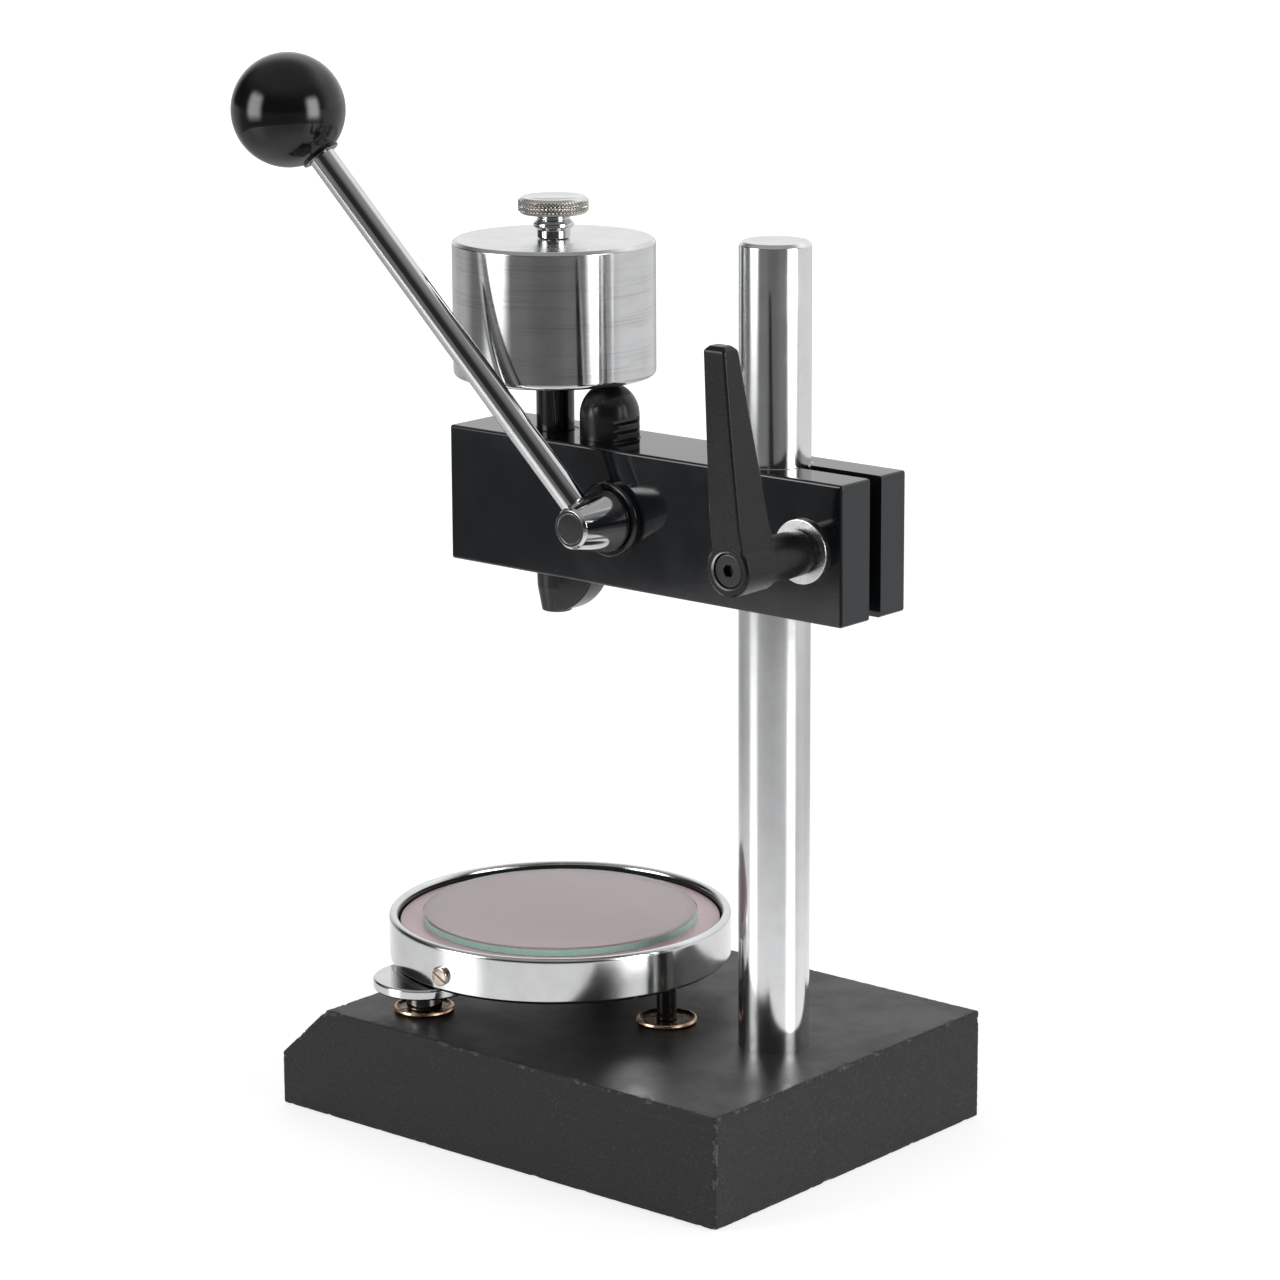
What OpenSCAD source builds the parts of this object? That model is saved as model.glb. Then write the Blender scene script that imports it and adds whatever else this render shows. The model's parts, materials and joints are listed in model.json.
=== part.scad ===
// Constant-load operating stand: a stone base with a levelling glass table, a round column, and a split
// arm whose lever lowers a weighted spindle through a rack and pinion.
// Millimetres. +X is the operator's right, +Y the rear, +Z up. The origin is the centre of the underside.

/* [Base] */
// Width of the stone base
base_w = 150; // [140:1:180]
// Depth of the stone base, front to back
base_l = 205; // [200:1:230]
// Height of the stone base
base_h = 40; // [38:1:50]
// How far back the sloped front edge reaches
slope_run = 22.5; // [15:0.5:25]
// How far down the sloped front edge reaches
slope_drop = 20.5; // [12:0.5:24]

/* [Column] */
// Diameter of the column
column_d = 25; // [24:0.5:26]
// Height of the column's top above the underside
column_top = 325; // [310:1:360]
// Distance of the column behind the middle of the base
column_y = 67.5; // [65:0.5:72]
// Distance from the column to the spindle
reach = 100; // [98:0.5:104]

/* [Arm] */
// Width of the arm
arm_w = 35.5; // [35:0.5:38]
// Height of the arm
arm_h = 49; // [47:0.5:52]
// Height of the arm's middle above the underside
arm_mid = 224; // [200:1:240]
// Length of the arm in front of the spindle
arm_nose = 35; // [30:0.5:40]
// Length of the arm behind the column's axis
arm_tail = 42.7; // [40:0.1:46]
// Width of the clamping slit
slit_w = 6.4; // [4:0.2:8]
// How far the slit stands off the arm's middle, towards the operator's left
slit_off = 0.8; // [0:0.1:1.5]

/* [Spindle and weight] */
// Diameter of the spindle
spindle_d = 13.6; // [12:0.1:14]
// Diameter of the weight
weight_d = 72.2; // [60:0.2:80]
// Height of the weight
weight_h = 48.5; // [40:0.5:60]
// Height of the weight's underside above the arm
weight_gap = 20; // [18:0.5:24]
// Diameter of the knurled knob on top
knob_d = 25; // [20:0.5:30]

/* [Rack and lever] */
// Diameter of the rack plunger
plunger_d = 21.2; // [20.8:0.1:21.6]
// Distance of the plunger behind the spindle
plunger_off = 25.5; // [25:0.1:26.5]
// Module of the rack and pinion
gear_m = 1; // [1:0.05:1.05]
// Teeth on the pinion
pinion_teeth = 14; // [14:1:14]
// Length of the lever from its shaft to the middle of the ball
lever_len = 178; // [150:0.5:200]
// Angle of the lever at rest, measured up from the rear
lever_angle = 126.1; // [120:0.1:150]
// How far the lever leans out from the arm, square to the hub's cone
lever_tilt = 13; // [10:0.5:15]
// Diameter of the lever rod
rod_d = 9.6; // [8:0.2:10.4]
// Diameter of the ball knob
ball_d = 40; // [30:0.5:45]

/* [Clamp] */
// Distance of the clamping stud behind the column
clamp_off = 26; // [24:0.1:28]
// Height of the clamping handle above its stud
handle_h = 76; // [60:1:80]

/* [Table] */
// Outer diameter of the table
table_d = 125; // [118:0.5:128]
// Height of the table's underside above the base
table_gap = 13.2; // [12:0.1:15]
// Height of the table's rim
table_h = 17.0; // [17:0.1:20]
// Diameter of the glass plate
glass_d = 100.5; // [98:0.5:112]
// Diameter of a levelling thumb nut
thumb_d = 36.6; // [30:0.2:38]

/* [Hidden] */

$fn = 96;
snug = 0.02;        // radial allowance between pieces that stay together
run_fit = 0.05;     // radial clearance of a shaft that turns or slides in its bore
face_gap = 0.3;     // space between faces of pieces that move past each other
edge = 0.8;         // bevel on the edges of the arm
stone_edge = 0.9;   // worn bevel on the edges of the base
over = 1;           // how far a cutting shape runs past the face it opens

spindle_y = column_y - reach;
spindle_r = spindle_d / 2;
column_r = column_d / 2;
socket_depth = 22;
bolt_recess = 9;
bolt_r = 5;

arm_bottom = arm_mid - arm_h / 2;
arm_top = arm_mid + arm_h / 2;
arm_front = spindle_y - arm_nose;
arm_rear = column_y + arm_tail;
bush_wall = 1.6;
bush_h = 14;

plunger_r = plunger_d / 2;
plunger_y = spindle_y + plunger_off;
plunger_bottom = arm_bottom + 3.5;
pitch_r = gear_m * pinion_teeth / 2;
tooth_add = 0.8 * gear_m;
tooth_ded = gear_m;
backlash = 0.12;
pressure = 20;
pitch_line = plunger_r - tooth_ded - 0.8 * gear_m;   // from the plunger's axis to the rack's pitch line
shaft_y = plunger_y + pitch_line + pitch_r;
rack_pitch = PI * gear_m;
rack_low = arm_mid - 3 * rack_pitch;
rack_gaps = 14;
shaft_r = pitch_r - tooth_ded;
shaft_end_r = 5.4;
pinion_half = 8.5;
bearing_r = pitch_r + tooth_add + 1.2;
bearing_len = arm_w / 2 - pinion_half - 0.3;
cap_r = 13.4;
cap_boss_r = 10.3;
cap_t = 4.1;
hub_x0 = arm_w / 2 + cap_t + face_gap;
hub_x1 = 40;
hub_r0 = 11.2;
hub_r1 = 7.3;
rod_x = 29.7;
rod_r = rod_d / 2;
rod_seat = 8.5;     // distance of the rod's seat in the hub from the shaft's axis
ball_r = ball_d / 2;
collar_r = 7.1;

weight_bottom = arm_top + weight_gap - 0.1;
weight_top = weight_bottom + weight_h;
weight_r = weight_d / 2;
shoulder_z = weight_bottom + 8;
stem_r = 5;
stem_top = weight_top - 4;
knob_screw_r = 3;
dome_top = weight_bottom - 0.4;

yoke_bottom = arm_bottom - 17;
yoke_top = arm_bottom - face_gap;
yoke_r = 7.3;
yoke_tip_r = 5.4;
yoke_t = 9.6;
yoke_arc = 22.5;
yoke_screw_z = yoke_bottom + 10.4;
socket_r = 3.4;
socket_len = 12;
lower_stem_r = 5;
spindle_bottom = yoke_bottom + 3;
guide_r = 1.9;
guide_y = spindle_y + 11.6;
guide_top = arm_mid + 12;

clamp_y = column_y + clamp_off;
washer_x1 = arm_w / 2 + 1.5;
washer_r = 11.2;
insert_x0 = washer_x1 + face_gap;
insert_x1 = 38;
insert_r = 6.7;
spline_r = 6.4;
spline_x0 = 32;
neck_x0 = 20.6;
neck_r = 7.9;
boss_r = 9;
hub_in = 42;
hub_out = 58;
spring_r = 4.2;
wire_r = 0.55;
chamber_r = 6.1;
chamber_x0 = 41;
head_x0 = 54;
head_r = 5.7;
handle_top = arm_mid + handle_h;

table_z = base_h + table_gap;
table_top = table_z + table_h;
table_r = table_d / 2;
rim_in = table_r - 3.4;
floor_t = 3.8;
carrier_r = rim_in - 0.3;
carrier_top = table_z + 12.8;
glass_top = table_top + 0.3;
glass_t = 3.3;
pad_top = glass_top - glass_t;
glass_r = glass_d / 2;
screw_z = table_z + 6.2;
screw_r = 2;
foot_x = 51.35;
foot_dy = -20.6;
pivot_x = 6.1;
pivot_dy = 55.8;
stud_r = 3;
post_r = 3.6;
stud_low = base_h - 9;
stud_high = table_z + 3;
cup_r = 11;
cup_t = 1.1;
thumb_r = thumb_d / 2;
thumb_hub_r = 6.5;
thumb_t = 3.9;

FRONT_FEET = [[foot_x, spindle_y + foot_dy], [-foot_x, spindle_y + foot_dy]];
PIVOT_FOOT = [pivot_x, spindle_y + pivot_dy];
SCREW_ANGLES = [-1.4, 178.6];   // directions of the screws in the table's rim

stone = [0.13, 0.13, 0.14];
paint = [0.04, 0.04, 0.045];
chrome = [0.80, 0.81, 0.83];
steel = [0.55, 0.56, 0.58];
brass = [0.72, 0.53, 0.28];
bronze = [0.55, 0.40, 0.24];
black_steel = [0.09, 0.09, 0.10];
plastic = [0.03, 0.03, 0.03];
backing = [0.62, 0.54, 0.55];
glass = [0.72, 0.82, 0.80, 0.6];

// ---- shapes that repeat ----

// A cylinder along X between two X values.
module x_rod(r, x0, x1, y, z) {
    translate([x0, y, z]) rotate([0, 90, 0]) cylinder(r = r, h = x1 - x0);
}

// A cone along X between two X values.
module x_cone(r0, r1, x0, x1, y, z) {
    translate([x0, y, z]) rotate([0, 90, 0]) cylinder(r1 = r0, r2 = r1, h = x1 - x0);
}

// A cylinder along Z between two heights.
module z_rod(r, z0, z1, y = 0, x = 0) {
    translate([x, y, z0]) cylinder(r = r, h = z1 - z0);
}

// A rectangle from corner a to corner b with its corners cut off by c.
module bevelled(a, b, c) {
    polygon([[a[0] + c, a[1]], [b[0] - c, a[1]], [b[0], a[1] + c], [b[0], b[1] - c],
        [b[0] - c, b[1]], [a[0] + c, b[1]], [a[0], b[1] - c], [a[0], a[1] + c]]);
}

// A box from corner a to corner b with every edge bevelled by c.
module bevelled_box(a, b, c) {
    intersection() {
        translate([0, 0, a[2]]) linear_extrude(b[2] - a[2]) bevelled([a[0], a[1]], [b[0], b[1]], c);
        translate([0, b[1], 0]) rotate([90, 0, 0])
            linear_extrude(b[1] - a[1]) bevelled([a[0], a[2]], [b[0], b[2]], c);
        yz_slab(a[0], b[0]) bevelled([a[1], a[2]], [b[1], b[2]], c);
    }
}

// Extrudes a Y-Z outline along X between two X values.
module yz_slab(x0, x1) {
    translate([x0, 0, 0]) rotate([90, 0, 90]) linear_extrude(x1 - x0) children();
}

// Extrudes an X-Z outline along Y between two Y values.
module xz_slab(y0, y1) {
    translate([0, y1, 0]) rotate([90, 0, 0]) linear_extrude(y1 - y0) children();
}

// Places its children on the line of the lever, whose Z runs from the shaft's axis to the ball.
module on_lever() {
    translate([rod_x, shaft_y, arm_mid]) rotate([lever_angle - 90, 0, 0]) rotate([0, lever_tilt, 0]) children();
}

// A round head with a straight slot across it, pointing along Z.
module slotted_head(r, h, slot) {
    difference() {
        union() {
            cylinder(r = r, h = h - 0.4);
            translate([0, 0, h - 0.4]) cylinder(r1 = r, r2 = r - 0.4, h = 0.4);
        }
        translate([-r - over, -slot / 2, h * 0.45]) cube([2 * (r + over), slot, h]);
    }
}

// A hexagon head of a given width across its flats, pointing along Z.
module hex_head(across, h) {
    cylinder(r = across / sqrt(3), h = h, $fn = 6);
}

// ---- base and table ----

module base_plate() {
    half = [base_w / 2, base_l / 2];
    slope = [[-half[1], -over], [-half[1], base_h - slope_drop], [-half[1] + slope_run, base_h],
        [-half[1] + slope_run, base_h + over], [half[1] + over, base_h + over], [half[1] + over, -over]];
    color(stone) difference() {
        intersection() {
            bevelled_box([-half[0], -half[1], 0], [half[0], half[1], base_h], stone_edge);
            yz_slab(-half[0] - over, half[0] + over) polygon(slope);
        }
        z_rod(column_r + run_fit, base_h - socket_depth, base_h + over, column_y);
        z_rod(bolt_r + 0.5, bolt_recess - over, base_h - socket_depth + over, column_y);
        z_rod(12, -over, bolt_recess, column_y);
        for (p = concat(FRONT_FEET, [PIVOT_FOOT]))
            z_rod(stud_r + 0.6, stud_low - 4, base_h + over, p[1], p[0]);
    }
}

module foot_washers() {
    profile = [[stud_r + 0.6, 0], [cup_r - 1.2, 0], [cup_r, 0.9], [cup_r, 1.9], [cup_r - 0.7, 1.9],
        [cup_r - 1.7, cup_t], [stud_r + 0.6, cup_t]];
    color(brass) for (p = concat(FRONT_FEET, [PIVOT_FOOT]))
        translate([p[0], p[1], base_h]) rotate_extrude() polygon(profile);
}

module levelling_studs() {
    color(steel) for (p = FRONT_FEET) z_rod(stud_r, stud_low, stud_high, p[1], p[0]);
}

module pivot_post() {
    color(black_steel) union() {
        z_rod(stud_r, stud_low, base_h + 2, PIVOT_FOOT[1], PIVOT_FOOT[0]);
        z_rod(post_r, base_h + cup_t + 0.1, stud_high, PIVOT_FOOT[1], PIVOT_FOOT[0]);
    }
}

// One levelling thumb nut standing on its brass washer.
module thumb_nut(p) {
    bottom = base_h + cup_t + face_gap;
    top = table_z - face_gap;
    color(chrome) translate([p[0], p[1], 0]) difference() {
        union() {
            z_rod(thumb_hub_r, bottom, top - 1);
            z_rod(thumb_r - 0.6, top - thumb_t, top);
            z_rod(thumb_r, top - thumb_t + 0.6, top - 0.6);
        }
        z_rod(stud_r + run_fit, bottom - over, top + over);
    }
}

module thumb_nut_right() {
    thumb_nut(FRONT_FEET[0]);
}

module thumb_nut_left() {
    thumb_nut(FRONT_FEET[1]);
}

module table_dish() {
    lip = 1.6;
    lip_arc = [for (a = [0:15:180]) [table_r - lip + lip * cos(a), table_top - lip + lip * sin(a)]];
    profile = concat([[0, table_z], [table_r - 1.2, table_z], [table_r, table_z + 1.2]], lip_arc,
        [[rim_in, table_top - lip - 0.6], [rim_in, table_z + floor_t], [0, table_z + floor_t]]);
    color(chrome) difference() {
        translate([0, spindle_y, 0]) rotate_extrude() polygon(profile);
        for (p = FRONT_FEET) z_rod(stud_r + snug, table_z - over, stud_high, p[1], p[0]);
        z_rod(post_r + snug, table_z - over, stud_high, PIVOT_FOOT[1], PIVOT_FOOT[0]);
        for (a = SCREW_ANGLES)
            translate([0, spindle_y, screw_z]) rotate([0, 90, a])
                translate([0, 0, rim_in - over]) cylinder(r = screw_r + 0.1, h = 6);
    }
}

module glass_carrier() {
    color(black_steel) difference() {
        z_rod(carrier_r, table_z + floor_t + snug, carrier_top, spindle_y);
        for (a = SCREW_ANGLES)
            translate([0, spindle_y, screw_z]) rotate([0, 90, a])
                translate([0, 0, carrier_r - 9]) cylinder(r = screw_r + snug, h = 12);
    }
}

module glass_pad() {
    color(backing) z_rod(carrier_r - 0.4, carrier_top + snug, pad_top, spindle_y);
}

module glass_plate() {
    c = 0.6;
    color(glass) translate([0, spindle_y, 0]) rotate_extrude()
        polygon([[0, pad_top + snug], [glass_r - c, pad_top + snug], [glass_r, pad_top + snug + c],
            [glass_r, glass_top - c], [glass_r - c, glass_top], [0, glass_top]]);
}

module table_screws() {
    color(brass) for (a = SCREW_ANGLES)
        translate([0, spindle_y, screw_z]) rotate([0, 90, a]) union() {
            translate([0, 0, carrier_r - 8]) cylinder(r = screw_r, h = table_r - carrier_r + 8.2);
            translate([0, 0, table_r + snug]) slotted_head(3.5, 1.7, 0.9);
        }
}

// ---- column ----

module column() {
    c = 1.2;
    bottom = base_h - socket_depth + face_gap;
    profile = [[0, bottom], [column_r - 0.5, bottom], [column_r, bottom + 0.5], [column_r, column_top - c],
        [column_r - c * 0.3, column_top - c * 0.3], [column_r - c, column_top], [0, column_top]];
    color(chrome) difference() {
        translate([0, column_y, 0]) rotate_extrude() polygon(profile);
        z_rod(bolt_r + snug, bottom - over, bottom + 22, column_y);
    }
}

module column_bolt() {
    head = 6.4;
    color(black_steel) union() {
        translate([0, column_y, 0.6]) hex_head(17, head);
        z_rod(bolt_r, 0.6 + head - over, base_h - 2, column_y);
    }
}

module column_bolt_washer() {
    color(steel) difference() {
        z_rod(10.5, 7 + snug, bolt_recess - face_gap, column_y);
        z_rod(bolt_r + 0.25, 6, bolt_recess + over, column_y);
    }
}

// ---- arm ----

module arm() {
    half = arm_w / 2;
    color(paint) difference() {
        bevelled_box([-half, arm_front, arm_bottom], [half, arm_rear, arm_top], edge);
        z_rod(column_r + run_fit, arm_bottom - over, arm_top + over, column_y);
        translate([-slit_off - slit_w / 2, column_y, arm_bottom - over])
            cube([slit_w, arm_tail + over, arm_h + 2 * over]);
        z_rod(spindle_r + 0.5, arm_bottom - over, arm_top + over, spindle_y);
        z_rod(spindle_r + bush_wall, arm_top - bush_h, arm_top + over, spindle_y);
        z_rod(spindle_r + bush_wall, arm_bottom - over, arm_bottom + bush_h, spindle_y);
        z_rod(plunger_r + run_fit, arm_bottom - over, arm_top + over, plunger_y);
        z_rod(guide_r + run_fit, arm_bottom - over, guide_top + 4, guide_y);
        x_rod(bearing_r, -half - over, half + over, shaft_y, arm_mid);
        x_rod(bolt_r + 0.3, -slit_off, half + over, clamp_y, arm_mid);
        x_rod(bolt_r + run_fit, -half - over, -slit_off, clamp_y, arm_mid);
    }
}

// A plain bush round the spindle between two heights.
module spindle_bush(z0, z1) {
    color(bronze) difference() {
        z_rod(spindle_r + bush_wall - snug, z0, z1, spindle_y);
        z_rod(spindle_r + run_fit, z0 - over, z1 + over, spindle_y);
    }
}

module spindle_bush_upper() {
    spindle_bush(arm_top - bush_h, arm_top - 0.2);
}

module spindle_bush_lower() {
    spindle_bush(arm_bottom + 0.2, arm_bottom + bush_h);
}

module bearing_cap() {
    half = arm_w / 2;
    color(paint) difference() {
        union() {
            x_rod(bearing_r - snug, half - bearing_len, half + 1, shaft_y, arm_mid);
            x_rod(cap_r, half, half + cap_t - 1.9, shaft_y, arm_mid);
            x_cone(cap_r, cap_r - 0.7, half + cap_t - 1.9, half + cap_t - 1.2, shaft_y, arm_mid);
            x_rod(cap_boss_r, half + 1, half + cap_t, shaft_y, arm_mid);
        }
        x_rod(shaft_r + run_fit, 0, half + cap_t + over, shaft_y, arm_mid);
    }
}

module bearing_bush() {
    half = arm_w / 2;
    color(bronze) difference() {
        union() {
            x_rod(bearing_r - snug, -half, -half + bearing_len, shaft_y, arm_mid);
            x_rod(12, -half - 1.8, -half, shaft_y, arm_mid);
        }
        x_rod(shaft_r + run_fit, -half - 3, 0, shaft_y, arm_mid);
    }
}

module clamp_washer() {
    color(chrome) difference() {
        x_rod(washer_r, arm_w / 2, washer_x1, clamp_y, arm_mid);
        x_rod(bolt_r + 0.3, arm_w / 2 - over, washer_x1 + over, clamp_y, arm_mid);
    }
}

// ---- lever, pinion and rack ----

// The angle, in degrees, that an involute turns through between its base circle and radius r.
function involute(r, base) = r <= base ? 0 : tan(acos(base / r)) * 180 / PI - acos(base / r);

// Half a tooth's thickness, as an angle at radius r.
function half_tooth(r) = 90 / pinion_teeth - backlash / 2 / pitch_r * 180 / PI
    + involute(pitch_r, pitch_r * cos(pressure)) - involute(r, pitch_r * cos(pressure));

module pinion_outline() {
    tip = pitch_r + tooth_add;
    base = pitch_r * cos(pressure);
    radii = concat([shaft_r - 0.4], [for (k = [0:5]) base + (tip - base) * k / 5]);
    last = len(radii) - 1;
    points = [for (t = [0:pinion_teeth - 1], s = [-1, 1], k = [0:last])
        let (r = radii[s < 0 ? k : last - k], a = t * 360 / pinion_teeth + s * half_tooth(r))
        [r * cos(a), r * sin(a)]];
    polygon(points);
}

module pinion_shaft() {
    half = arm_w / 2;
    color(steel) union() {
        x_rod(shaft_r, -half - 5, hub_x0, shaft_y, arm_mid);
        x_rod(shaft_end_r, hub_x0 - over, hub_x1 - 0.4, shaft_y, arm_mid);
        translate([0, shaft_y, arm_mid]) yz_slab(-pinion_half, pinion_half)
            rotate([0, 0, 180]) pinion_outline();
    }
}

module shaft_circlip() {
    x0 = -arm_w / 2 - 3.4;
    color(black_steel) difference() {
        x_rod(8.6, x0, x0 + 1.2, shaft_y, arm_mid);
        x_rod(shaft_r + snug, x0 - over, x0 + 2, shaft_y, arm_mid);
        translate([x0 - over, shaft_y - 2.2, arm_mid - 12]) cube([4, 4.4, 12]);
    }
}

module lever_hub() {
    bevel = 0.9;
    color(chrome) difference() {
        union() {
            x_cone(hub_r0, hub_r1, hub_x0, hub_x1 - bevel, shaft_y, arm_mid);
            x_cone(hub_r1, hub_r1 - bevel, hub_x1 - bevel, hub_x1, shaft_y, arm_mid);
        }
        x_rod(shaft_end_r + snug, hub_x0 - over, hub_x1 + over, shaft_y, arm_mid);
        on_lever() translate([0, 0, shaft_end_r + 1.1]) cylinder(r = rod_r - 1 + snug, h = 12);
        on_lever() translate([0, 0, rod_seat]) cylinder(r = rod_r + snug, h = 12);
    }
}

module lever_rod() {
    color(chrome) on_lever() union() {
        translate([0, 0, shaft_end_r + 1.4]) cylinder(r = rod_r - 1, h = 8);
        translate([0, 0, rod_seat + snug]) cylinder(r = rod_r, h = lever_len - 8 - rod_seat);
    }
}

module ball_knob() {
    color(plastic) on_lever() difference() {
        union() {
            translate([0, 0, lever_len]) sphere(r = ball_r);
            translate([0, 0, lever_len - ball_r + 0.1]) cylinder(r = collar_r, h = 6);
        }
        translate([0, 0, lever_len - ball_r - over]) cylinder(r = rod_r + snug, h = 13.2);
    }
}

module rack_plunger() {
    dome_start = dome_top - 11.5;
    dome = [for (a = [90:-7.5:0]) [plunger_r * cos(a), dome_start + (dome_top - dome_start) * sin(a)]];
    crest = plunger_y + pitch_line + tooth_add;
    root = plunger_y + pitch_line - tooth_ded;
    gap_crest = rack_pitch / 4 + backlash / 2 + tan(pressure) * tooth_add;
    gap_root = rack_pitch / 4 + backlash / 2 - tan(pressure) * tooth_ded;
    color(black_steel) difference() {
        translate([0, plunger_y, 0]) rotate_extrude()
            polygon(concat([[0, plunger_bottom], [plunger_r - 1, plunger_bottom],
                [plunger_r, plunger_bottom + 1]], [for (k = [len(dome) - 1:-1:0]) dome[k]]));
        translate([-plunger_r, crest, rack_low - gap_crest])
            cube([2 * plunger_r, 5, (rack_gaps - 1) * rack_pitch + 2 * gap_crest]);
        for (k = [0:rack_gaps - 1])
            translate([0, 0, rack_low + k * rack_pitch])
                yz_slab(-plunger_r - over, plunger_r + over)
                    polygon([[root, -gap_root], [root, gap_root], [crest, gap_crest],
                        [crest + 5, gap_crest], [crest + 5, -gap_crest], [crest, -gap_crest]]);
    }
}

// ---- spindle and weight ----

module spindle() {
    color(black_steel) difference() {
        union() {
            z_rod(lower_stem_r, spindle_bottom + snug, yoke_top + over, spindle_y);
            z_rod(spindle_r, yoke_top + snug, shoulder_z, spindle_y);
            z_rod(stem_r, shoulder_z - over, stem_top, spindle_y);
        }
        z_rod(socket_r, spindle_bottom - over, spindle_bottom + snug + socket_len, spindle_y);
        z_rod(knob_screw_r, stem_top - 16, stem_top + over, spindle_y);
    }
}

module weight() {
    c = 1.2;
    b = 2;
    bottom_arc = [for (a = [0:15:90]) [weight_r - b + b * sin(a), weight_bottom + b - b * cos(a)]];
    color(chrome) difference() {
        translate([0, spindle_y, 0]) rotate_extrude()
            polygon(concat([[0, weight_bottom]], bottom_arc,
                [[weight_r, weight_top - c], [weight_r - c, weight_top], [0, weight_top]]));
        z_rod(stem_r + snug, weight_bottom - over, weight_top + over, spindle_y);
        z_rod(spindle_r + snug, weight_bottom - over, shoulder_z + snug, spindle_y);
    }
}

module guide_yoke() {
    centre = [spindle_y - 0.5, yoke_bottom + yoke_arc];
    top_angle = asin((yoke_top - centre[1]) / yoke_arc);
    arc = [for (k = [1:12]) let (a = -90 + (90 + top_angle) * k / 12)
        [centre[0] + yoke_arc * cos(a), centre[1] + yoke_arc * sin(a)]];
    color(paint) difference() {
        union() {
            translate([0, spindle_y, 0]) rotate_extrude()
                polygon([[0, yoke_bottom], [yoke_tip_r, yoke_bottom], [yoke_r - 0.3, yoke_bottom + 9],
                    [yoke_r, yoke_top], [0, yoke_top]]);
            yz_slab(-yoke_t / 2, yoke_t / 2) polygon(concat(arc, [[centre[0], yoke_top]]));
        }
        translate([0, spindle_y, 0]) rotate_extrude()
            polygon([[0, yoke_bottom - over], [socket_r + 0.8, yoke_bottom - over], [socket_r + 0.8, spindle_bottom],
                [lower_stem_r + snug, spindle_bottom], [lower_stem_r + snug, yoke_top + over], [0, yoke_top + over]]);
        z_rod(guide_r + snug, yoke_bottom + 9, yoke_top + over, guide_y);
        translate([0, spindle_y - 4, yoke_screw_z]) rotate([90, 0, 0]) cylinder(r = 1.5 + snug, h = 10);
    }
}

module guide_pin() {
    color(steel) z_rod(guide_r, yoke_bottom + 9.2, guide_top, guide_y);
}

module yoke_screw() {
    color(black_steel) translate([0, spindle_y, yoke_screw_z]) rotate([90, 0, 0]) difference() {
        translate([0, 0, lower_stem_r + snug]) cylinder(r = 1.5, h = 1.9);
        translate([0, 0, lower_stem_r + 1]) hex_head(1.5, 2);
    }
}

module weight_knob() {
    teeth = 64;
    depth = 0.35;
    z0 = weight_top + face_gap;
    disc_z = weight_top + 8.9;
    disc_t = 5.9;
    bevel = 0.9;
    r = knob_d / 2;
    core = r - depth - 0.05;
    profile = [[0, z0], [5.9, z0], [5.9, z0 + 3.2], [6.6, z0 + 3.7], [7.2, z0 + 4.5], [7.2, z0 + 5.3],
        [6.6, z0 + 6.1], [5.8, z0 + 6.6], [5.9, z0 + 7.6], [6.6, disc_z], [r - bevel, disc_z],
        [core, disc_z + bevel], [core, disc_z + disc_t - bevel], [r - bevel, disc_z + disc_t],
        [0, disc_z + disc_t]];
    knurl = [for (k = [0:2 * teeth - 1]) (r - depth * (k % 2)) * [cos(k * 180 / teeth), sin(k * 180 / teeth)]];
    color(steel) translate([0, spindle_y, 0]) union() {
        rotate_extrude() polygon(profile);
        translate([0, 0, disc_z + bevel]) linear_extrude(disc_t - 2 * bevel) polygon(knurl);
        z_rod(knob_screw_r - run_fit, stem_top - 13, z0 + 1);
    }
}

// ---- clamp handle ----

module clamp_stud() {
    color(steel) x_rod(bolt_r, -arm_w / 2 + 1, 31, clamp_y, arm_mid);
}

module handle_insert() {
    color(steel) difference() {
        union() {
            x_rod(insert_r, insert_x0, spline_x0, clamp_y, arm_mid);
            x_rod(spline_r, spline_x0 - 0.5, insert_x1, clamp_y, arm_mid, $fn = 12);
        }
        x_rod(bolt_r + snug, insert_x0 - over, 31 + snug, clamp_y, arm_mid);
        x_rod(2.5 + snug, 30, insert_x1 + over, clamp_y, arm_mid);
    }
}

module handle_screw() {
    color(steel) union() {
        x_rod(2.5, 32.5, head_x0 + over, clamp_y, arm_mid);
        difference() {
            x_rod(head_r, head_x0, hub_out - 0.8, clamp_y, arm_mid);
            translate([hub_out - 3, clamp_y, arm_mid]) rotate([0, 90, 0]) hex_head(4, 4);
        }
    }
}

// A wire spring wound round the handle screw, made as one swept tube.
module handle_spring() {
    turns = 5;
    steps = 20;
    sides = 8;
    x0 = chamber_x0 + wire_r + 0.05;
    pitch = (head_x0 - chamber_x0 - 2 * wire_r - 0.1) / turns;
    n = turns * steps;
    function ring(i) = [for (s = [0:sides - 1]) let (a = i * 360 / steps, b = s * 360 / sides,
        r = spring_r + wire_r * cos(b)) [x0 + pitch * i / steps + wire_r * sin(b), r * cos(a), r * sin(a)]];
    points = [for (i = [0:n]) each ring(i)];
    walls = [for (i = [0:n - 1], s = [0:sides - 1]) let (t = (s + 1) % sides)
        [i * sides + s, i * sides + t, (i + 1) * sides + t, (i + 1) * sides + s]];
    ends = [[for (s = [sides - 1:-1:0]) s], [for (s = [0:sides - 1]) n * sides + s]];
    color(steel) translate([0, clamp_y, arm_mid]) polyhedron(points, concat(walls, ends), convexity = 6);
}

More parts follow.
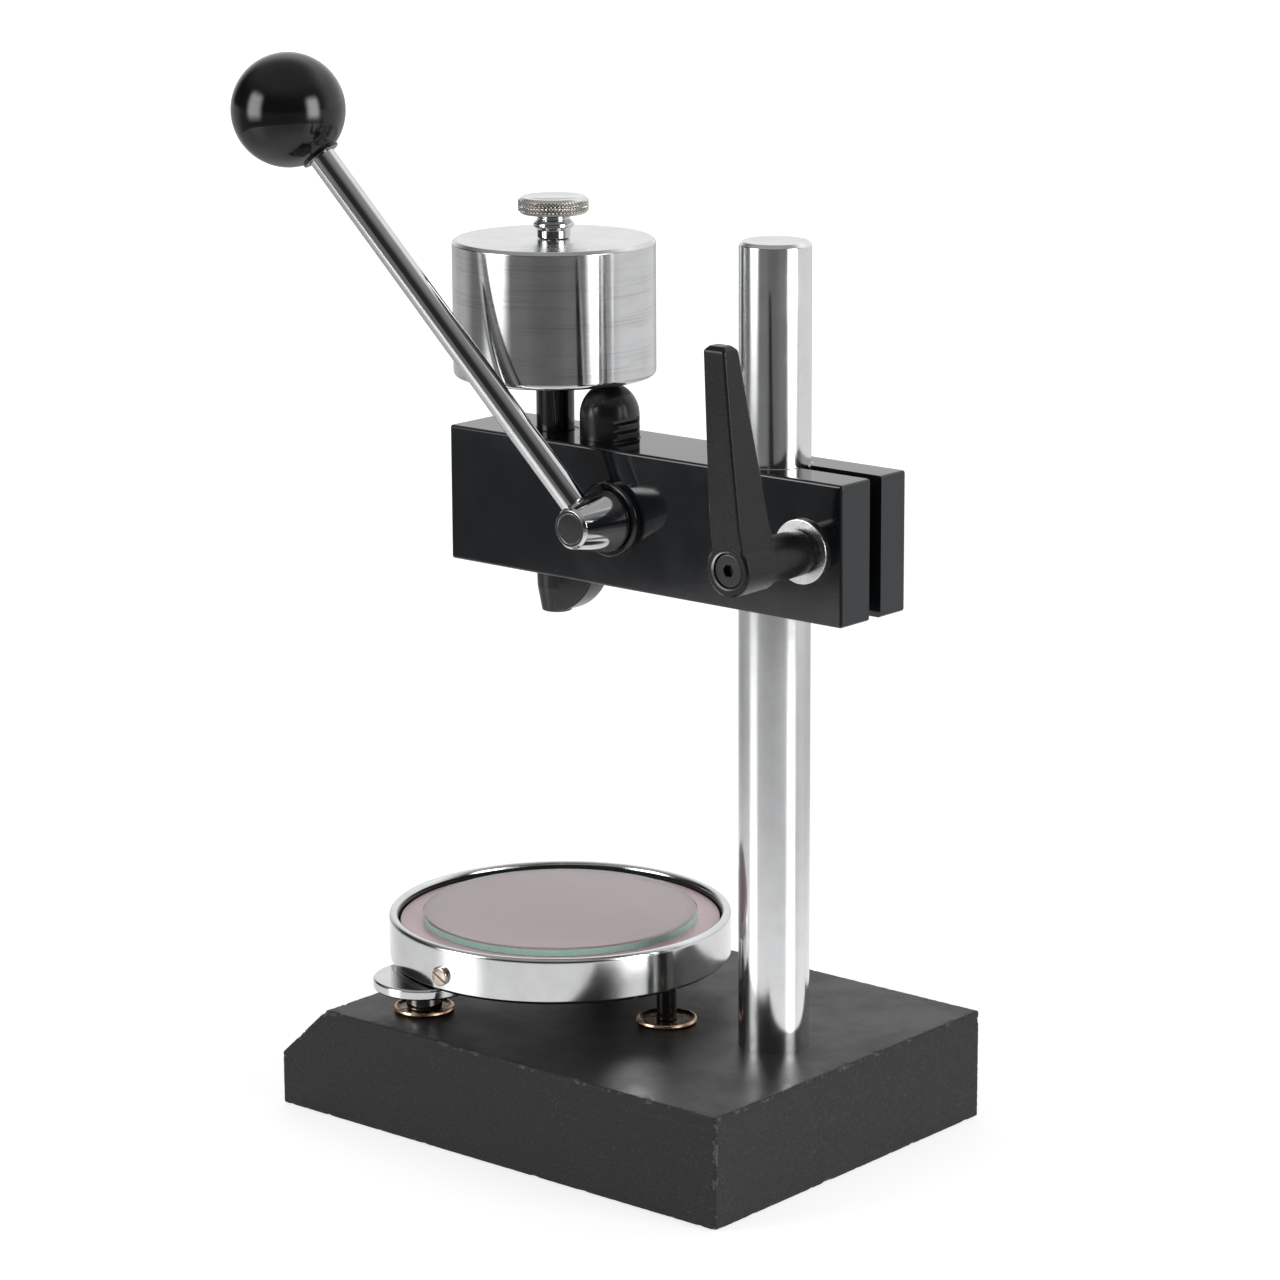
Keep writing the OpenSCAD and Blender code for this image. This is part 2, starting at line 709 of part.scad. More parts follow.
module clamp_handle() {
    tip_half = 4.6;
    root_half = 6.6;
    side_view = [[hub_in, arm_mid], [hub_in, arm_mid + 11], [57.2, handle_top - 1.8], [58.6, handle_top],
        [63.8, handle_top], [65, handle_top - 1.4], [hub_out, arm_mid + 8], [hub_out, arm_mid]];
    front_view = [[-root_half, arm_mid - 1], [root_half, arm_mid - 1], [root_half, arm_mid + 11],
        [tip_half, handle_top - 1.5], [tip_half - 1.5, handle_top + over],
        [-tip_half + 1.5, handle_top + over], [-tip_half, handle_top - 1.5], [-root_half, arm_mid + 11]];
    color(paint) difference() {
        union() {
            intersection() {
                xz_slab(clamp_y - 12, clamp_y + 12) polygon(side_view);
                yz_slab(hub_in - over, 70) translate([clamp_y, 0]) polygon(front_view);
            }
            x_rod(neck_r, neck_x0, hub_in + 1, clamp_y, arm_mid);
            x_rod(boss_r, hub_in - 0.4, hub_out - 1, clamp_y, arm_mid);
            x_cone(boss_r, boss_r - 0.9, hub_out - 1, hub_out, clamp_y, arm_mid);
        }
        x_rod(insert_r + run_fit, neck_x0 - over, spline_x0 + 2.2, clamp_y, arm_mid);
        x_rod(spline_r + 0.1, spline_x0, insert_x1 + face_gap, clamp_y, arm_mid, $fn = 12);
        x_rod(2.8, insert_x1 - over, chamber_x0 + over, clamp_y, arm_mid);
        x_rod(chamber_r, chamber_x0, hub_out + over, clamp_y, arm_mid);
    }
}

base_plate();
foot_washers();
levelling_studs();
pivot_post();
table_dish();
glass_carrier();
glass_pad();
glass_plate();
table_screws();
thumb_nut_right();
thumb_nut_left();
column();
column_bolt();
column_bolt_washer();
arm();
spindle_bush_upper();
spindle_bush_lower();
bearing_cap();
bearing_bush();
clamp_washer();
pinion_shaft();
shaft_circlip();
lever_hub();
lever_rod();
ball_knob();
rack_plunger();
spindle();
weight();
guide_yoke();
guide_pin();
yoke_screw();
weight_knob();
clamp_stud();
handle_insert();
handle_screw();
handle_spring();
clamp_handle();
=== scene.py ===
"""Looks for a constant-load test stand: a stone base with a levelling glass table, a chromed column, and a
split arm whose lever lowers a weighted spindle. Outlines are in millimetres; Blender works in metres."""

import json
from math import acos, asin, cos, degrees, hypot, pi, radians, sin, tan

import bmesh
import bpy
from mathutils import Matrix, Vector, noise

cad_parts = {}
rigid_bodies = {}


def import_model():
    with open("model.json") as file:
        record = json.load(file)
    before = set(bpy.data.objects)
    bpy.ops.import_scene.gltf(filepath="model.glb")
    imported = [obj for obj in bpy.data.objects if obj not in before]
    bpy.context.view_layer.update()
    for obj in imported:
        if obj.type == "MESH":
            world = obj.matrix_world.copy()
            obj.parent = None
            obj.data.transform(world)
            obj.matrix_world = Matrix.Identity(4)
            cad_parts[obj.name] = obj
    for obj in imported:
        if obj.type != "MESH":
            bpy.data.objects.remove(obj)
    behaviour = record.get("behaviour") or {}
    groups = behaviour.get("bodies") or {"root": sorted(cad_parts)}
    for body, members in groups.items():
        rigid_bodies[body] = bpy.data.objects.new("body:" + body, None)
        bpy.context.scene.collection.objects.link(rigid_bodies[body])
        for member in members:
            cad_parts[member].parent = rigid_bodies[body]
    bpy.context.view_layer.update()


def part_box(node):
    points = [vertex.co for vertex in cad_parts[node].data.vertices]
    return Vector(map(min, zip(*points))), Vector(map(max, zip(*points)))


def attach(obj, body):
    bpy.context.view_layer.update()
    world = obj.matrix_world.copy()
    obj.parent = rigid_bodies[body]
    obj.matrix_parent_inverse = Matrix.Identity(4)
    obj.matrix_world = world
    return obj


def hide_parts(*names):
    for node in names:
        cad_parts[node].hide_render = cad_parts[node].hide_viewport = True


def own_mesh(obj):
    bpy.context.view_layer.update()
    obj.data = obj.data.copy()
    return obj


for old in list(bpy.data.objects):
    bpy.data.objects.remove(old)

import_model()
MM = 0.001

# ---- camera

VIEW_YAW, VIEW_PITCH, VIEW_ROLL = 40.373, 13.439, -0.2925
VIEW_PLACE = (1152.25, 986.19, 538.29)
LENS, SENSOR = 123.3, 36.0


def add_camera():
    yaw, pitch, roll = (radians(a) for a in (VIEW_YAW, VIEW_PITCH, VIEW_ROLL))
    ahead = Vector((-cos(yaw) * cos(pitch), -sin(yaw) * cos(pitch), -sin(pitch)))
    flat = Vector((-sin(yaw), cos(yaw), 0))
    tall = flat.cross(ahead)
    right = cos(roll) * flat + sin(roll) * tall
    up = cos(roll) * tall - sin(roll) * flat
    camera = bpy.data.objects.new("camera", bpy.data.cameras.new("camera"))
    camera.data.lens, camera.data.sensor_width = LENS, SENSOR
    camera.data.clip_start, camera.data.clip_end = 0.05, 50
    turn = Matrix((right, up, -ahead)).transposed().to_4x4()
    camera.matrix_world = Matrix.Translation(Vector(VIEW_PLACE) * MM) @ turn
    bpy.context.scene.collection.objects.link(camera)
    bpy.context.scene.camera = camera


# ---- node graphs


class Graph:
    """A small builder for node trees: add() makes a node, sets its inputs and returns it."""

    def __init__(self, owner):
        """owner is a new material's name, or a world or light that already exists."""
        self.owner = bpy.data.materials.new(owner) if isinstance(owner, str) else owner
        self.owner.use_nodes = True
        self.tree = self.owner.node_tree
        self.tree.nodes.clear()

    def add(self, kind, props=None, **inputs):
        node = self.tree.nodes.new("ShaderNode" + kind)
        for key, value in (props or {}).items():
            setattr(node, key, value)
        for key, value in inputs.items():
            socket = node.inputs[int(key[1:])] if key[0] == "_" else node.inputs[key.replace("_", " ")]
            self.put(socket, value)
        return node

    def put(self, socket, value):
        if isinstance(value, bpy.types.Node):
            value = value.outputs[0]
        if isinstance(value, bpy.types.NodeSocket):
            self.tree.links.new(value, socket)
        else:
            socket.default_value = value

    def math(self, operation, *values, clamp=False):
        node = self.add("Math", {"operation": operation, "use_clamp": clamp})
        for socket, value in zip(node.inputs, values):
            self.put(socket, value)
        return node

    def mix(self, factor, a, b):
        node = self.add("Mix", {"data_type": "RGBA"})
        self.put(node.inputs[0], factor)
        self.put(node.inputs[6], a)
        self.put(node.inputs[7], b)
        return node.outputs[2]

    def ramp(self, value, low, high, out_low=0.0, out_high=1.0):
        return self.add("MapRange", {"interpolation_type": "SMOOTHSTEP"}, Value=value, From_Min=low,
                        From_Max=high, To_Min=out_low, To_Max=out_high)

    def place(self):
        return self.add("TexCoord").outputs["Object"]

    def noise(self, scale, detail=2.0, rough=0.5, vector=None):
        return self.add("TexNoise", Vector=vector or self.place(), Scale=scale, Detail=detail,
                        Roughness=rough).outputs[0]

    def streaks(self, detail, rough, scale, offset=(0, 0, 0)):
        """Noise that is drawn out along one axis or two."""
        place = self.add("Mapping", Vector=self.place(), Scale=scale, Location=offset)
        return self.noise(1.0, detail, rough, place)

    def tones(self, value, low, high, a, b):
        """Colour a where the value is low, and b where it is high."""
        return self.mix(self.ramp(value, low, high), a, b)

    def radius(self):
        """The distance from the piece's own Z axis."""
        flat = self.add("Mapping", Vector=self.place(), Scale=(1, 1, 0))
        return self.add("VectorMath", {"operation": "LENGTH"}, _0=flat).outputs["Value"]

    def bump(self, height, distance, strength=1.0, normal=None):
        node = self.add("Bump", Strength=strength, Distance=distance, Height=height)
        if normal is not None:
            self.put(node.inputs["Normal"], normal)
        return node

    def finish(self, kind="BsdfPrincipled", target="Material", inside=None, **inputs):
        """Puts the last shader on the output, and with inside, what fills the solid."""
        out = self.add("Output" + target)
        self.put(out.inputs[0], self.add(kind, **inputs))
        if inside:
            self.put(out.inputs["Volume"], inside)
        return self.owner


def grey(level, tint=(1, 1, 1)):
    return tuple(level * t for t in tint) + (1.0,)


# ---- materials


def smudges(g, low, high, scale=45):
    """Roughness that wanders a little, as on metal that hands have wiped."""
    cloud = g.noise(scale, 3, 0.6)
    fine = g.noise(scale * 14, 2, 0.5)
    both = g.math("ADD", g.math("MULTIPLY", cloud, 0.8), g.math("MULTIPLY", fine, 0.2))
    return g.ramp(both, 0.35, 0.7, low, high)


def make_chrome(name, lines="none", level=0.66, low=0.035, high=0.085, depth=0.0000012, streak=0.0):
    """Chromed or polished steel. lines puts ground marks round a "side" or in rings on a "face"."""
    g = Graph(name)
    if lines == "side":
        marks = g.streaks(4, 0.75, (14, 14, 3200))
    elif lines == "face":
        rings = g.math("MULTIPLY", g.radius(), 3600.0)
        marks = g.add("TexNoise", {"noise_dimensions": "1D"}, W=rings, Scale=1.0, Detail=4.0,
                      Roughness=0.7).outputs[0]
    else:
        marks = g.streaks(3, 0.6, (900, 900, 90))
    scratch = g.streaks(2, 0.6, (260, 2600, 700), (0.1, 0.4, 0.2))
    rough = g.math("ADD", smudges(g, low, high), g.math("MULTIPLY", marks, 0.02))
    wave = g.noise(70, 1, 0.4)
    normal = g.bump(wave, 0.000012, 0.6)
    normal = g.bump(marks, depth, 1.0, normal)
    normal = g.bump(scratch, 0.0000004, 0.8, normal)
    tint = g.tones(g.noise(120, 3, 0.6), 0.35, 0.75, grey(level, (0.985, 1.0, 1.015)),
                 grey(level * 0.93, (1.01, 1.0, 0.99)))
    if streak:
        patch = g.ramp(g.streaks(3, 0.6, (24, 24, 150), (0.3, 0.1, 0.7)), 0.40, 0.62)
        dull = g.math("MULTIPLY", g.math("MULTIPLY", g.ramp(marks, 0.42, 0.62), patch), streak)
        tint = g.mix(dull, tint, grey(level * 0.45, (1.02, 1.0, 0.98)))
    return g.finish(Base_Color=tint, Metallic=1.0, Roughness=rough, Normal=normal)


def make_knurl(name):
    g = Graph(name)
    hollow = g.add("Attribute", {"attribute_name": "relief"}).outputs["Fac"]
    brown_mottle = g.noise(420, 3, 0.6)
    dark = g.tones(brown_mottle, 0.4, 0.62, grey(0.42, (1.0, 0.93, 0.82)), grey(0.36, (1.0, 0.80, 0.58)))
    # The knurl's groove bottoms take the dark brown tones and the ridge tops the pale one.
    tone = g.tones(hollow, 0.1, 0.7, dark, grey(0.70, (1.0, 0.98, 0.95)))
    normal = g.bump(g.noise(2600, 3, 0.6), 0.000008, 0.5)
    rough = g.ramp(g.noise(500, 2), 0.3, 0.7, 0.16, 0.30)
    return g.finish(Base_Color=tone, Metallic=1.0, Roughness=rough, Normal=normal)


def make_steel(name, level=0.55, rough=0.3, tint=(1, 1, 1.02), lines=2400.0):
    g = Graph(name)
    marks = g.streaks(3, 0.7, (22, 22, lines))
    normal = g.bump(marks, 0.000006, 0.6)
    tone = g.tones(g.noise(240, 3, 0.6), 0.3, 0.75, grey(level, tint), grey(level * 0.8, tint))
    roughness = g.math("ADD", smudges(g, rough * 0.8, rough * 1.25, 90), g.math("MULTIPLY", marks, 0.06))
    return g.finish(Base_Color=tone, Metallic=1.0, Roughness=roughness, Normal=normal)


def make_brass(name):
    """Stamped washers, brown where they have tarnished, with a painted highlight along the rolled rim."""
    g = Graph(name)
    rim = g.add("Attribute", {"attribute_name": "relief"}).outputs["Fac"]
    tarnish = g.ramp(g.noise(320, 4, 0.65), 0.38, 0.66)
    body = g.mix(tarnish, grey(0.30, (1.0, 0.70, 0.42)), grey(0.10, (1.0, 0.72, 0.52)))
    painted_highlight = g.mix(tarnish, grey(0.80, (1.0, 0.72, 0.50)), grey(0.52, (1.0, 0.60, 0.40)))
    # Painted highlight: the rim mask stored on the washer mesh brightens the rolled rim.
    tone = g.mix(rim, body, painted_highlight)
    normal = g.bump(g.noise(900, 3, 0.6), 0.00002, 0.4)
    return g.finish(Base_Color=tone, Metallic=1.0, Roughness=g.ramp(tarnish, 0, 1, 0.22, 0.42), Normal=normal)


def make_bronze(name):
    g = Graph(name)
    marks = g.streaks(3, 0.7, (30, 30, 2200))
    pores = g.ramp(g.noise(2400, 2, 0.6), 0.62, 0.72)
    tone = g.mix(pores, grey(0.50, (1.0, 0.72, 0.42)), grey(0.16, (1.0, 0.75, 0.5)))
    normal = g.bump(marks, 0.00001, 0.5)
    rough = g.ramp(marks, 0.3, 0.7, 0.28, 0.45)
    return g.finish(Base_Color=tone, Metallic=1.0, Roughness=rough, Normal=normal)


def make_paint(name):
    """Sprayed and baked enamel: a faint orange peel, dust under the gloss, and wiped patches."""
    g = Graph(name)
    skin = g.noise(520, 2, 0.55)
    long_wave = g.noise(60, 1, 0.4)
    dust = g.ramp(g.noise(2600, 1, 0.5), 0.76, 0.84)
    level = 0.0085
    tone = g.mix(dust, grey(level, (0.86, 1.0, 1.20)), grey(level * 2.2))
    normal = g.bump(long_wave, 0.00004, 0.5)
    normal = g.bump(skin, 0.000006, 0.7, normal)
    rough = smudges(g, 0.07, 0.125, 60)
    return g.finish(Base_Color=tone, Roughness=rough, Normal=normal, Specular_IOR_Level=0.5)


def make_coat(name, level=0.0055):
    """Fine powder coat on the clamp handle: satin, with a close even grain."""
    g = Graph(name)
    grain = g.noise(1500, 3, 0.6)
    wear = g.ramp(g.noise(90, 4, 0.65), 0.45, 0.75)
    tone = g.mix(wear, grey(level, (0.94, 1.0, 1.07)), grey(level * 1.5))
    normal = g.bump(grain, 0.00003, 0.15)
    return g.finish(Base_Color=tone, Roughness=g.ramp(grain, 0.3, 0.7, 0.26, 0.32), Normal=normal,
                    Specular_IOR_Level=0.3)


def make_black_steel(name, level=0.010, low=0.16, high=0.26, specular=0.5):
    """Blued steel: dark, oily, with turning marks."""
    g = Graph(name)
    marks = g.streaks(3, 0.7, (20, 20, 1900))
    cloud = g.noise(60, 2, 0.5)
    tone = g.tones(cloud, 0.3, 0.75, grey(level, (0.96, 1.0, 1.08)), grey(level * 1.5, (1.03, 1.0, 0.97)))
    normal = g.bump(marks, 0.000004, 0.5)
    rough = g.ramp(cloud, 0.3, 0.7, low, high)
    return g.finish(Base_Color=tone, Roughness=rough, Specular_IOR_Level=specular, Normal=normal)


def make_ball(name):
    """Moulded and buffed phenolic."""
    g = Graph(name)
    swirl = g.streaks(3, 0.6, (260, 90, 500))
    normal = g.bump(g.noise(90, 1, 0.4), 0.00003, 0.4)
    normal = g.bump(swirl, 0.0000016, 0.6, normal)
    tone = g.tones(g.noise(700, 2), 0.4, 0.8, grey(0.0045), grey(0.0065, (1.0, 0.98, 0.96)))
    return g.finish(Base_Color=tone, Roughness=smudges(g, 0.07, 0.16, 70), Normal=normal,
                    Specular_IOR_Level=0.42)


def make_glass(name):
    g = Graph(name)
    ripple = g.bump(g.noise(60, 1, 0.4), 0.000006, 0.4)
    rough = g.ramp(g.noise(160, 4, 0.6), 0.5, 0.75, 0.0, 0.035)
    inside = g.add("VolumeAbsorption", Color=(0.42, 0.86, 0.74, 1), Density=9.0)
    return g.finish(inside=inside, Base_Color=(0.975, 0.99, 0.985, 1), Roughness=rough, IOR=1.52,
                    Transmission_Weight=1.0, Normal=ripple)


def make_ground_edge(name):
    """The ground rim of the glass, where the light inside it comes out green."""
    g = Graph(name)
    grind = g.noise(1500, 3, 0.7)
    tone = g.tones(grind, 0.35, 0.7, (0.30, 0.52, 0.43, 1), (0.42, 0.62, 0.54, 1))
    return g.finish(Base_Color=tone, Roughness=0.42, IOR=1.52, Normal=g.bump(grind, 0.00002, 0.4))


def make_backing(name):
    """The pink-grey sheet that the glass lies on."""
    g = Graph(name)
    fibre = g.noise(900, 4, 0.7)
    blot = g.ramp(g.noise(35, 3, 0.6), 0.3, 0.7)
    tone = g.mix(blot, grey(0.70, (1.0, 0.71, 0.745)), grey(0.65, (1.0, 0.73, 0.76)))
    tone = g.mix(g.ramp(fibre, 0.35, 0.75, 0.0, 0.35), tone, grey(0.58, (1.0, 0.75, 0.78)))
    return g.finish(Base_Color=tone, Roughness=0.30, Normal=g.bump(fibre, 0.00002, 0.5))


def make_stone(name, polished):
    """Fine black granite. Chips show the paler broken stone, and sawn faces carry faint drag marks."""
    g = Graph(name)
    chip = g.add("Attribute", {"attribute_name": "relief"}).outputs["Fac"]
    cloud = g.noise(22, 4, 0.6)
    grain = g.noise(1400, 3, 0.7)
    cells = g.add("TexVoronoi", {"feature": "F1"}, Vector=g.place(), Scale=950.0, Randomness=1.0)
    flakes = g.ramp(g.add("SeparateColor", _0=cells.outputs["Color"]).outputs[0], 0.90, 0.985)
    base = 0.0115 if polished else 0.0165
    tone = g.tones(cloud, 0.3, 0.75, grey(base, (0.98, 1.0, 1.02)), grey(base * 1.35, (1.02, 1.0, 0.97)))
    tone = g.mix(g.ramp(grain, 0.42, 0.72, 0.0, 0.55), tone, grey(base * 2.4))
    tone = g.mix(g.math("MULTIPLY", flakes, 0.14), tone, grey(0.07))
    if not polished:
        drag = g.streaks(4, 0.7, (9, 9, 420))
        dust = g.math("MULTIPLY", g.ramp(g.noise(75, 5, 0.75), 0.60, 0.74), g.ramp(grain, 0.45, 0.6))
        tone = g.mix(g.math("MULTIPLY", dust, 0.40), tone, grey(0.085))
        tone = g.mix(g.ramp(drag, 0.60, 0.75, 0.0, 0.16), tone, grey(0.07))
    broken = g.tones(g.noise(1100, 3, 0.7), 0.3, 0.7, grey(0.035), grey(0.085))
    tone = g.tones(chip, 0.25, 0.75, tone, broken)
    if polished:
        rough = g.add("Mix", {"data_type": "FLOAT"}, _0=g.ramp(chip, 0.15, 0.6),
                      _2=g.ramp(g.noise(38, 4, 0.65), 0.3, 0.7, 0.30, 0.44), _3=0.7)
    else:
        rough = g.ramp(cloud, 0.3, 0.7, 0.52, 0.66)
    normal = g.bump(g.noise(28, 2, 0.5), 0.00006, 0.35 if polished else 0.8)
    normal = g.bump(grain, 0.000012 if polished else 0.00007, 0.5, normal)
    return g.finish(Base_Color=tone, Roughness=rough, Normal=normal, Specular_IOR_Level=0.22)


CHROME = make_chrome("chrome")
CHROME_TURNED = make_chrome("chrome_turned", "side", 0.67, 0.07, 0.12, 0.0000050, 0.38)
CHROME_BAR = make_chrome("chrome_bar", "none", 0.76, 0.10, 0.17)
CHROME_SOFT = make_chrome("chrome_ring", "none", 0.68, 0.09, 0.16)
SATIN_WASHER = make_chrome("satin_washer", "none", 0.62, 0.22, 0.32)
CHROME_FACE = make_chrome("chrome_face", "face", 0.72, 0.20, 0.30, 0.000004)
KNURL = make_knurl("knurled_nickel")
NICKEL = make_chrome("nickel", "none", 0.70, 0.09, 0.16)
STEEL = make_steel("plain_steel")
SCREW_NICKEL = make_steel("screw_nickel", 0.60, 0.16, (1.0, 0.86, 0.74))
HUB_FACE = make_black_steel("blued_end", 0.019, 0.13, 0.22)
BRASS = make_brass("tarnished_brass")
BRONZE = make_bronze("sintered_bronze")
PAINT = make_paint("black_enamel")
COAT = make_coat("handle_coat")
BLACK_STEEL = make_black_steel("blued_steel")
PLUNGER_STEEL = make_black_steel("blued_rack", 0.010, 0.22, 0.32, 0.45)
BLACK_OXIDE = make_black_steel("black_oxide", 0.007, 0.09, 0.15, 0.4)
PHENOLIC = make_ball("black_phenolic")
GLASS = make_glass("float_glass")
GLASS_RIM = make_ground_edge("ground_glass")
BACKING = make_backing("glass_backing")
STONE_TOP = make_stone("polished_stone", True)
STONE_SIDE = make_stone("honed_stone", False)

# ---- sizes from the frame


def box(node):
    """A CAD node's lowest and highest corners at rest, in millimetres."""
    low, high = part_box(node)
    return [v / MM for v in low], [v / MM for v in high]


def round_part(node, axis="Z"):
    """A round node's centre across its axis, its radius, and where it starts and ends along the axis."""
    low, high = box(node)
    i, j, k = {"Z": (0, 1, 2), "X": (1, 2, 0)}[axis]
    return ((low[i] + high[i]) / 2, (low[j] + high[j]) / 2), (high[i] - low[i]) / 2, low[k], high[k]


ALONG_X = Matrix(((0, 0, 1), (1, 0, 0), (0, 1, 0))).to_4x4()     # turns a frame's Z to the part's X


def at(x, y, z):
    return Matrix.Translation((x * MM, y * MM, z * MM))


def spun(axis, angle):
    return Matrix.Rotation(radians(angle), 4, axis)


def along(axis, centre):
    """A frame whose own Z runs along the axis through centre. Heights in it are the part's coordinates."""
    return at(centre[0], centre[1], 0) if axis == "Z" else at(0, centre[0], centre[1]) @ ALONG_X


# ---- mesh building


def sharpen(obj, angle=32):
    for face in obj.data.polygons:
        face.use_smooth = True
    obj.data.set_sharp_from_angle(angle=radians(angle))


def make_object(name, points, faces, matrix=None, materials=(), pick=None):
    """A mesh from millimetre points. pick(centre, normal) says which faces get the second material."""
    mesh = bpy.data.meshes.new(name)
    mesh.from_pydata([[c * MM for c in p] for p in points], [], faces)
    bm = bmesh.new()
    bm.from_mesh(mesh)
    bmesh.ops.remove_doubles(bm, verts=bm.verts, dist=1e-7)
    bmesh.ops.recalc_face_normals(bm, faces=bm.faces)
    bm.to_mesh(mesh)
    bm.free()
    obj = bpy.data.objects.new(name, mesh)
    bpy.context.scene.collection.objects.link(obj)
    obj.matrix_world = matrix or Matrix.Identity(4)
    for material in materials:
        mesh.materials.append(material)
    if pick:
        for face in mesh.polygons:
            face.material_index = int(pick(face.center / MM, face.normal))
    sharpen(obj)
    return obj


def top_face(centre, normal):
    return normal.z > 0.98


def rounded(points, radius=0.3, closed=False, steps=4):
    """Rounds an outline's corners. A third number in a point is that corner's own radius. Each arc gets a
    guard point just outside it, so that smooth shading stays off the flats."""
    out, count = [], len(points)
    for i, point in enumerate(points):
        corner = Vector(point[:2])
        r = point[2] if len(point) > 2 else radius
        before, after = Vector(points[i - 1][:2]), Vector(points[(i + 1) % count][:2])
        if (not closed and i in (0, count - 1)) or r <= 0:
            out.append(tuple(corner))
            continue
        u, v = before - corner, after - corner
        half = u.angle(v) / 2
        if half > radians(88):
            out.append(tuple(corner))
            continue
        cut = min(r / tan(half), 0.46 * u.length, 0.46 * v.length)
        ends = []
        for side in (u, v):
            guard = min(0.12, 0.5 * (side.length / 2 - cut))
            ends.append((corner + side.normalized() * cut, corner + side.normalized() * (cut + guard)))
        out.append(tuple(ends[0][1]))
        for k in range(steps + 1):
            t = k / steps
            out.append(tuple((1 - t) ** 2 * ends[0][0] + 2 * t * (1 - t) * corner + t * t * ends[1][0]))
        out.append(tuple(ends[1][1]))
    return out


def arc(centre, radius, start, end, steps):
    """Points on a circle from start to end degrees."""
    return [(centre[0] + radius * cos(radians(start + (end - start) * k / steps)),
             centre[1] + radius * sin(radians(start + (end - start) * k / steps)))
            for k in range(steps + 1)]


def polygon(radius, sides):
    angles = [2 * pi * k / sides for k in range(sides)]
    return [(radius * cos(a), radius * sin(a)) for a in angles]


def loft(rows, closed=False):
    """The points and faces of a skin through rows of points. A row of one point draws the skin to it."""
    wide = max(len(row) for row in rows)
    points, rings, faces = [], [], []
    for row in rows:
        first = len(points)
        rings.append([first + k if len(row) > 1 else first for k in range(wide)])
        points += row
    for low, high in zip(rings, rings[1:] + (rings[:1] if closed else [])):
        for k in range(wide):
            n = (k + 1) % wide
            face = list(dict.fromkeys((low[k], low[n], high[n], high[k])))
            if len(face) > 2:
                faces.append(face)
    return points, faces


def capped(rows):
    """A skin through rows of points, with a flat face over each end."""
    points, faces = loft(rows)
    wide, count = len(rows[0]), len(points)
    return points, [list(range(wide))[::-1], list(range(count - wide, count))] + faces


def lathe(name, outline, matrix, materials=(), segments=128, closed=False, pick=None):
    """Spins an outline of (radius, height) round the frame's Z."""
    rows = [[(x, y, z) for x, y in polygon(r, segments)] if r > 1e-6 else [(0, 0, z)] for r, z in outline]
    return make_object(name, *loft(rows, closed), matrix, materials, pick)


def stepped(*steps):
    """The outline of a solid bar, from the radius, start and end of each step."""
    outline = [(0, steps[0][1])]
    for r, start, end in steps:
        outline += [(r, start), (r, end)]
    return outline + [(0, steps[-1][2])]


def drill(axis, centre, segments, *steps, materials=(STEEL,)):
    return lathe("cutter", stepped(*steps), along(axis, centre), materials, segments)


def square_up(obj):
    """Turns a piece's own axes back to the frame's without moving it, so that its box is a close one."""
    place = obj.matrix_world
    obj.data.transform(place.to_3x3().to_4x4())
    obj.matrix_world = Matrix.Translation(place.translation)


def slab(name, outline, low, high, matrix=None, materials=(), bevel=0.0, steps=3):
    """Extrudes an outline of (x, y) between two heights and rounds its edges."""
    rows = [[(x, y, z) for x, y in outline] for z in (low, high)]
    obj = make_object(name, *capped(rows), matrix, materials)
    if bevel:
        round_edges(obj, bevel, steps)
    return obj


def apply_modifiers(obj):
    bpy.context.view_layer.update()
    graph = bpy.context.evaluated_depsgraph_get()
    result = obj.evaluated_get(graph)
    mesh = bpy.data.meshes.new_from_object(result, preserve_all_data_layers=True, depsgraph=graph)
    obj.modifiers.clear()
    obj.data = mesh


def round_edges(obj, width, steps=3, angle=40):
    bevel = obj.modifiers.new("edges", "BEVEL")
    bevel.width, bevel.segments = width * MM, steps
    bevel.limit_method, bevel.angle_limit = "ANGLE", radians(angle)
    apply_modifiers(obj)


def join(obj, others, operation="DIFFERENCE"):
    """Cuts the other objects out of obj, or adds them to it, and removes them."""
    for other in others:
        change = obj.modifiers.new("join", "BOOLEAN")
        change.operation, change.solver, change.object = operation, "EXACT", other
        change.material_mode = "TRANSFER"
    apply_modifiers(obj)
    for other in others:
        bpy.data.objects.remove(other)
    return obj


def even_shading(obj, angle=32):
    """Keeps big flat faces flat beside small roundings."""
    sharpen(obj, angle)
    weighted = obj.modifiers.new("weighted", "WEIGHTED_NORMAL")
    weighted.keep_sharp, weighted.weight = True, 80
    apply_modifiers(obj)


def brick(low, high, name="cutter", materials=()):
    corners = [(low[0], low[1]), (high[0], low[1]), (high[0], high[1]), (low[0], high[1])]
    return slab(name, corners, low[2], high[2], None, materials)


def carve(obj, cutters, body, slot, node, angle=32):
    """Cuts a piece, evens its shading and adds it to its body."""
    join(obj, cutters)
    even_shading(obj, angle)
    add_piece(obj, body, slot, node)


def store(obj, name, values):
    """A number for each point, which a material reads."""
    layer = obj.data.attributes.new(name, "FLOAT", "POINT")
    layer.data.foreach_set("value", values)


def add_piece(obj, body, slot, *nodes):
    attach(obj, body)
    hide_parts(*nodes)


def turned(name, outline, place, materials, segments, body, slot, node, **more):
    """A lathe piece on its body."""
    add_piece(lathe(name, outline, place, materials, segments, **more), body, slot, node)


# ---- stone base

CHIP_REACH = 3.4      # how far in from an edge a chip may reach
CHIP_STEPS = 128      # points along each edge
SLOPE_RUN, SLOPE_DROP = 22.5, 20.5
COLUMN_SEAT = 22      # how deep the column stands in the base
BOLT_RECESS_R, BOLT_RECESS, BOLT_BORE_R = 12, 9, 5.5


